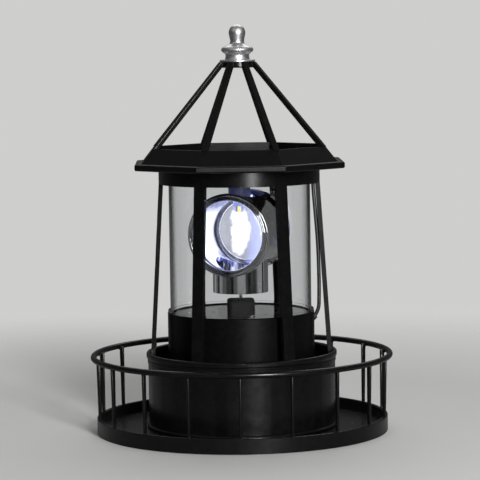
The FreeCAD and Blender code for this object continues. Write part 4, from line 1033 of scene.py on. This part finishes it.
class LIGHTHOUSE_OT_lamp(bpy.types.Operator):
    """Finish the lamp, its holder and its board"""

    bl_idname = "lighthouse.lamp"
    bl_label = "Lamp"

    def execute(self, context):
        lamp = context.scene.lighthouse_lamp
        finish_nodes(holder_plastic(lamp), "led_holder")
        finish_nodes(lit_resin(lamp), "lamp_led")
        finish_nodes(board_green(), "led_board")
        return {"FINISHED"}


class LIGHTHOUSE_OT_drive(bpy.types.Operator):
    """Finish the gear train and its motor"""

    bl_idname = "lighthouse.drive"
    bl_label = "Gear train"

    def execute(self, context):
        finish_nodes(gear_plastic(), "gear_case", "drive_gear", "idler_gear")
        finish_nodes(turned_brass(), "motor_pinion")
        finish_nodes(brushed_can(), "motor")
        finish_nodes(plain_steel(), "idler_pin", "gear_case_screws")
        return {"FINISHED"}


class LIGHTHOUSE_OT_screws(bpy.types.Operator):
    """Build the screws of the frame, the tray, the base cover and the roof"""

    bl_idname = "lighthouse.screws"
    bl_label = "Screws"

    def execute(self, context):
        sizes = context.scene.lighthouse_details
        steel = plain_steel()
        thin = sizes.thin_head_radius, sizes.thin_shank_radius
        thick = sizes.head_radius, sizes.shank_radius
        for node, count, circle, first, heads_up, (head, shank) in (
                ("frame_screws", 6, sizes.frame_circle, 30, True, thin),
                ("roof_screws", 4, sizes.roof_circle, 67.5, True, thin),
                ("tray_screws", 4, sizes.tray_circle, 45, False, thick),
                ("cover_screws", 3, sizes.cover_circle, 60, False, thick)):
            screw_ring(node, count, circle, first, heads_up, head, shank, sizes.head_height, steel)
        finish_nodes(steel, "board_screws")
        return {"FINISHED"}


def cone_coil(start, middle, length, wide, narrow, turns=3.5, steps_a_turn=20):
    """Points of a spring that narrows along X, about a line through the middle."""
    points = []
    steps = int(turns * steps_a_turn)
    for step in range(steps + 1):
        share = step / steps
        radius = wide - (wide - narrow) * share
        angle = math.tau * turns * share
        points.append((start + length * share, middle.y + radius * math.cos(angle),
                       middle.z + radius * math.sin(angle)))
    return points


class LIGHTHOUSE_OT_battery(bpy.types.Operator):
    """Finish the cell and wind its spring contact"""

    bl_idname = "lighthouse.battery"
    bl_label = "Battery"

    def execute(self, context):
        steel = plain_steel()
        finish_nodes(cell_jacket(), "battery")
        finish_nodes(steel, "battery_contact")
        lowest, highest = low("battery_spring"), high("battery_spring")
        wire, wide, narrow = 0.35 * MM, 4.3 * MM, 2.5 * MM
        seat = lowest.x + 0.4 * MM
        plate = slab("spring_plate", lowest, (seat, highest.y, highest.z), bevel=0.1 * MM)
        points = cone_coil(seat + wire, centre("battery_spring"), highest.x - seat - wire * 2,
                           wide, narrow)
        spring = merged("contact_spring", [plate, wire_along("spring_coil", points, wire)])
        carried(coated(spring, steel), "root", "steel", "battery_spring")
        return {"FINISHED"}


def on_board(name, place, size, bevel):
    """A block on the circuit board, its place and size in millimetres from a corner."""
    lowest, highest = low("circuit_board"), high("circuit_board")
    start = Vector((lowest.x, lowest.y, highest.z)) + Vector(place) * MM
    return slab(name, start, start + Vector(size) * MM, bevel)


class LIGHTHOUSE_OT_base(bpy.types.Operator):
    """Finish the base cover, the battery door, the switch and the circuit board"""

    bl_idname = "lighthouse.base"
    bl_label = "Base"

    def execute(self, context):
        plastic = black_plastic(context.scene.lighthouse_paint)
        metal = brushed_can()
        finish_nodes(plastic, "base_cover", "battery_door", "switch_slider")
        finish_nodes(metal, "switch_body")
        finish_nodes(board_green(), "circuit_board")
        chip = on_board("board_chip", (8, 4, 0.2), (5, 4, 1.5), 0.15 * MM)
        drops = [on_board("board_resistor", (x, 11, 0), (2, 1.3, 0.6), 0.1 * MM)
                 for x in (8, 12, 16)]
        carried(coated(merged("board_parts", [chip] + drops), plastic), "root", "black_plastic")
        can_radius, can_height, can_edge = 2.5 * MM, 5.3 * MM, 0.3 * MM
        board, top = low("circuit_board"), high("circuit_board").z
        can = lathe("board_can", [
            (0, top), (can_radius, top), (can_radius, top + can_height - can_edge),
            (can_radius - can_edge, top + can_height), (0, top + can_height)])
        moved(can, Matrix.Translation((board.x + 28 * MM, board.y + 5 * MM, 0)))
        carried(coated(can, metal), "root", "switch_metal")
        return {"FINISHED"}


# ---------- the stage
STAGE_LAMPS = (
    # name, place, width and height, power
    ("key_lamp", (0.35, -1.14, 0.36), (0.2, 0.56), 21.0),
    ("top_lamp", (0.1, 0.95, 1.25), (1.4, 1.2), 9.0))

# The room's light, where 1 is the backdrop as it is seen
ROOM_FRONT, ROOM_BACK, ROOM_TOP = 0.05, 0.36, 0.08
GLOSS_LOSS, WINDOW_GAIN = 0.25, 0.07
SCREEN_LIGHT, STRIP_LIGHT = 0.8, 0.38
STRIP_START = 11.3


def floor_material(colour):
    """Pale and plain, clear far from the lantern and from below, and faint in gloss."""
    finish = Finish("stage_floor", Specular_IOR_Level=0.2)
    finish.tones([part * 0.985 for part in colour], colour, 6).roughness(0.7, 0.85, 40)
    fade_start, fade_end, gloss_loss = 0.16, 0.46, 0.65
    graph = finish.graph
    distance = graph.vector_maths("LENGTH", finish.place)
    behind = graph.add("ShaderNodeNewGeometry").outputs["Backfacing"]
    mirrored = graph.add("ShaderNodeLightPath").outputs["Is Glossy Ray"]
    share = graph.times(graph.ramp(distance, fade_start, fade_end, 1.0, 0.0),
                        graph.maths("SUBTRACT", 1.0, behind))
    seen = graph.maths("SUBTRACT", 1.0, graph.times(mirrored, gloss_loss))
    return finish.feed("Alpha", graph.times(share, seen)).material


def window_strips(graph, way):
    """Uneven upright light strips all round, as bright plating mirrors a room."""
    strips_a_radian, dark_wave, bright_wave, dark_rise, bright_rise = 1.2, 0.47, 0.6, 0.45, 0.3
    azimuth = graph.maths("ARCTAN2", way["X"], graph.times(way["Y"], -1.0))
    wave = graph.add("ShaderNodeTexNoise", {
        "W": graph.maths("ADD", azimuth, STRIP_START), "Scale": strips_a_radian, "Detail": 1.0},
        noise_dimensions="1D").outputs["Fac"]
    level = graph.ramp(graph.size_of(way["Z"]), dark_rise, bright_rise)
    return graph.times(graph.ramp(wave, dark_wave, bright_wave, 0.0, STRIP_LIGHT), level)


def front_screens(graph, way):
    """Two bright screens, high up in front of the lantern, to its left and right."""
    light = SCREEN_LIGHT
    for part, dark_at, bright_at in (
            (way["Z"], 0.35, 0.5), (way["Z"], 0.9, 0.75), (way["Y"], 0.0, -0.2),
            (graph.size_of(way["X"]), 0.25, 0.35)):
        light = graph.times(graph.ramp(part, dark_at, bright_at), light)
    return light


def backdrop_world(colour):
    """Pale where it is seen. What lights the lantern, and shows in its gloss, is a dimmer room."""
    world = bpy.data.worlds.new("studio")
    graph = empty_graph(world)
    path = graph.add("ShaderNodeLightPath").outputs
    seen = graph.times(graph.below(path["Glossy Depth"], 0.5),
                       graph.below(path["Diffuse Depth"], 0.5))
    glossy = graph.over(path["Glossy Depth"], 0.5)
    inside = graph.over(path["Transmission Depth"], 0.5)
    way = graph.split(graph.add("ShaderNodeTexCoord").outputs["Generated"])
    loss = graph.maths("SUBTRACT", GLOSS_LOSS, graph.times(inside, WINDOW_GAIN))
    back = graph.maths("SUBTRACT", ROOM_BACK, graph.times(glossy, loss))
    room = graph.maths("ADD", graph.ramp(way["Y"], -0.25, 0.7, ROOM_FRONT, back),
                       graph.ramp(way["Z"], 0.2, 0.9, 0.0, ROOM_TOP))
    room = graph.maths("ADD", room, graph.times(glossy, front_screens(graph, way)))
    mirrored = graph.times(inside, glossy)
    room = graph.maths("ADD", room, graph.times(mirrored, window_strips(graph, way)))
    strength = graph.add("ShaderNodeMix", {"Factor": seen, "A": room, "B": 1.0},
                         data_type="FLOAT")
    background = graph.add("ShaderNodeBackground", {
        "Color": colour, "Strength": strength.outputs["Result"]})
    output = graph.add("ShaderNodeOutputWorld")
    graph.set(output.inputs["Surface"], background.outputs["Background"])
    bpy.context.scene.world = world


def soft_lamp(name, place, size, power, target):
    light = bpy.data.lights.new(name, "AREA")
    light.shape = "RECTANGLE"
    light.size, light.size_y = size
    light.energy = power
    lamp = new_object(name, light)
    lamp.matrix_world = Matrix.Translation(place) @ (
        Vector(target) - Vector(place)).to_track_quat("-Z", "Y").to_matrix().to_4x4()


def photo_camera(stage):
    camera_data = bpy.data.cameras.new("photo_camera")
    camera_data.lens = stage.focal_length
    camera_data.sensor_width = SENSOR_WIDTH
    camera_data.clip_start = CLIP_START
    camera = new_object("photo_camera", camera_data)
    around = Matrix.Rotation(-stage.side_turn, 4, "Z")
    away = Matrix.Translation((0, -stage.distance, stage.height))
    tilt = Matrix.Rotation(math.pi / 2 - stage.pitch, 4, "X")
    camera.matrix_world = around @ away @ tilt @ Matrix.Rotation(stage.roll, 4, "Z")
    return camera


class LIGHTHOUSE_OT_stage(bpy.types.Operator):
    """Set up the floor, the backdrop, the lamps and the camera"""

    bl_idname = "lighthouse.stage"
    bl_label = "Stage"

    def execute(self, context):
        stage = context.scene.lighthouse_stage
        shape = bmesh.new()
        bmesh.ops.create_circle(shape, cap_ends=True, segments=96, radius=FLOOR_RADIUS)
        floor = new_object("stage_floor", mesh_from("stage_floor", welded(shape)))
        coated(floor, floor_material(stage.floor_colour))
        backdrop_world(stage.backdrop_colour)
        for lamp in STAGE_LAMPS:
            soft_lamp(*lamp, target=(0, 0, centre("head_body").z))
        context.scene.camera = photo_camera(stage)
        context.scene.view_settings.view_transform = "Standard"
        return {"FINISHED"}


class LIGHTHOUSE_PT_panel(bpy.types.Panel):
    """Lists the lantern's settings and operators"""

    bl_idname = "LIGHTHOUSE_PT_panel"
    bl_label = "Garden Lighthouse"
    bl_space_type = "VIEW_3D"
    bl_region_type = "UI"
    bl_category = "Lighthouse"

    def draw(self, context):
        for operator in OPERATORS:
            self.layout.operator(operator.bl_idname)
        for group in GROUPS:
            settings = getattr(context.scene, group)
            for name in settings.bl_rna.properties.keys():
                if name not in ("rna_type", "name"):
                    self.layout.prop(settings, name)


# ---------- the add-on
GROUPS = {
    "lighthouse_paint": LIGHTHOUSE_PG_paint,
    "lighthouse_lamp": LIGHTHOUSE_PG_lamp,
    "lighthouse_details": LIGHTHOUSE_PG_details,
    "lighthouse_stage": LIGHTHOUSE_PG_stage,
}
OPERATORS = (
    LIGHTHOUSE_OT_stage, LIGHTHOUSE_OT_gallery, LIGHTHOUSE_OT_drum, LIGHTHOUSE_OT_cup,
    LIGHTHOUSE_OT_window, LIGHTHOUSE_OT_roof, LIGHTHOUSE_OT_panel, LIGHTHOUSE_OT_head,
    LIGHTHOUSE_OT_lamp, LIGHTHOUSE_OT_drive, LIGHTHOUSE_OT_screws, LIGHTHOUSE_OT_battery,
    LIGHTHOUSE_OT_base)
CLASSES = (*GROUPS.values(), *OPERATORS, LIGHTHOUSE_PT_panel)


def register():
    for item in CLASSES:
        bpy.utils.register_class(item)
    for name, group in GROUPS.items():
        setattr(bpy.types.Scene, name, PointerProperty(type=group))


def unregister():
    for name in GROUPS:
        delattr(bpy.types.Scene, name)
    for item in reversed(CLASSES):
        bpy.utils.unregister_class(item)


def plain(box):
    return [[round(value, 6) for value in corner] for corner in box]


def main():
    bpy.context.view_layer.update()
    register()
    for operator in OPERATORS:
        family, name = operator.bl_idname.split(".")
        getattr(getattr(bpy.ops, family), name)()


if __name__ == "__main__":
    main()
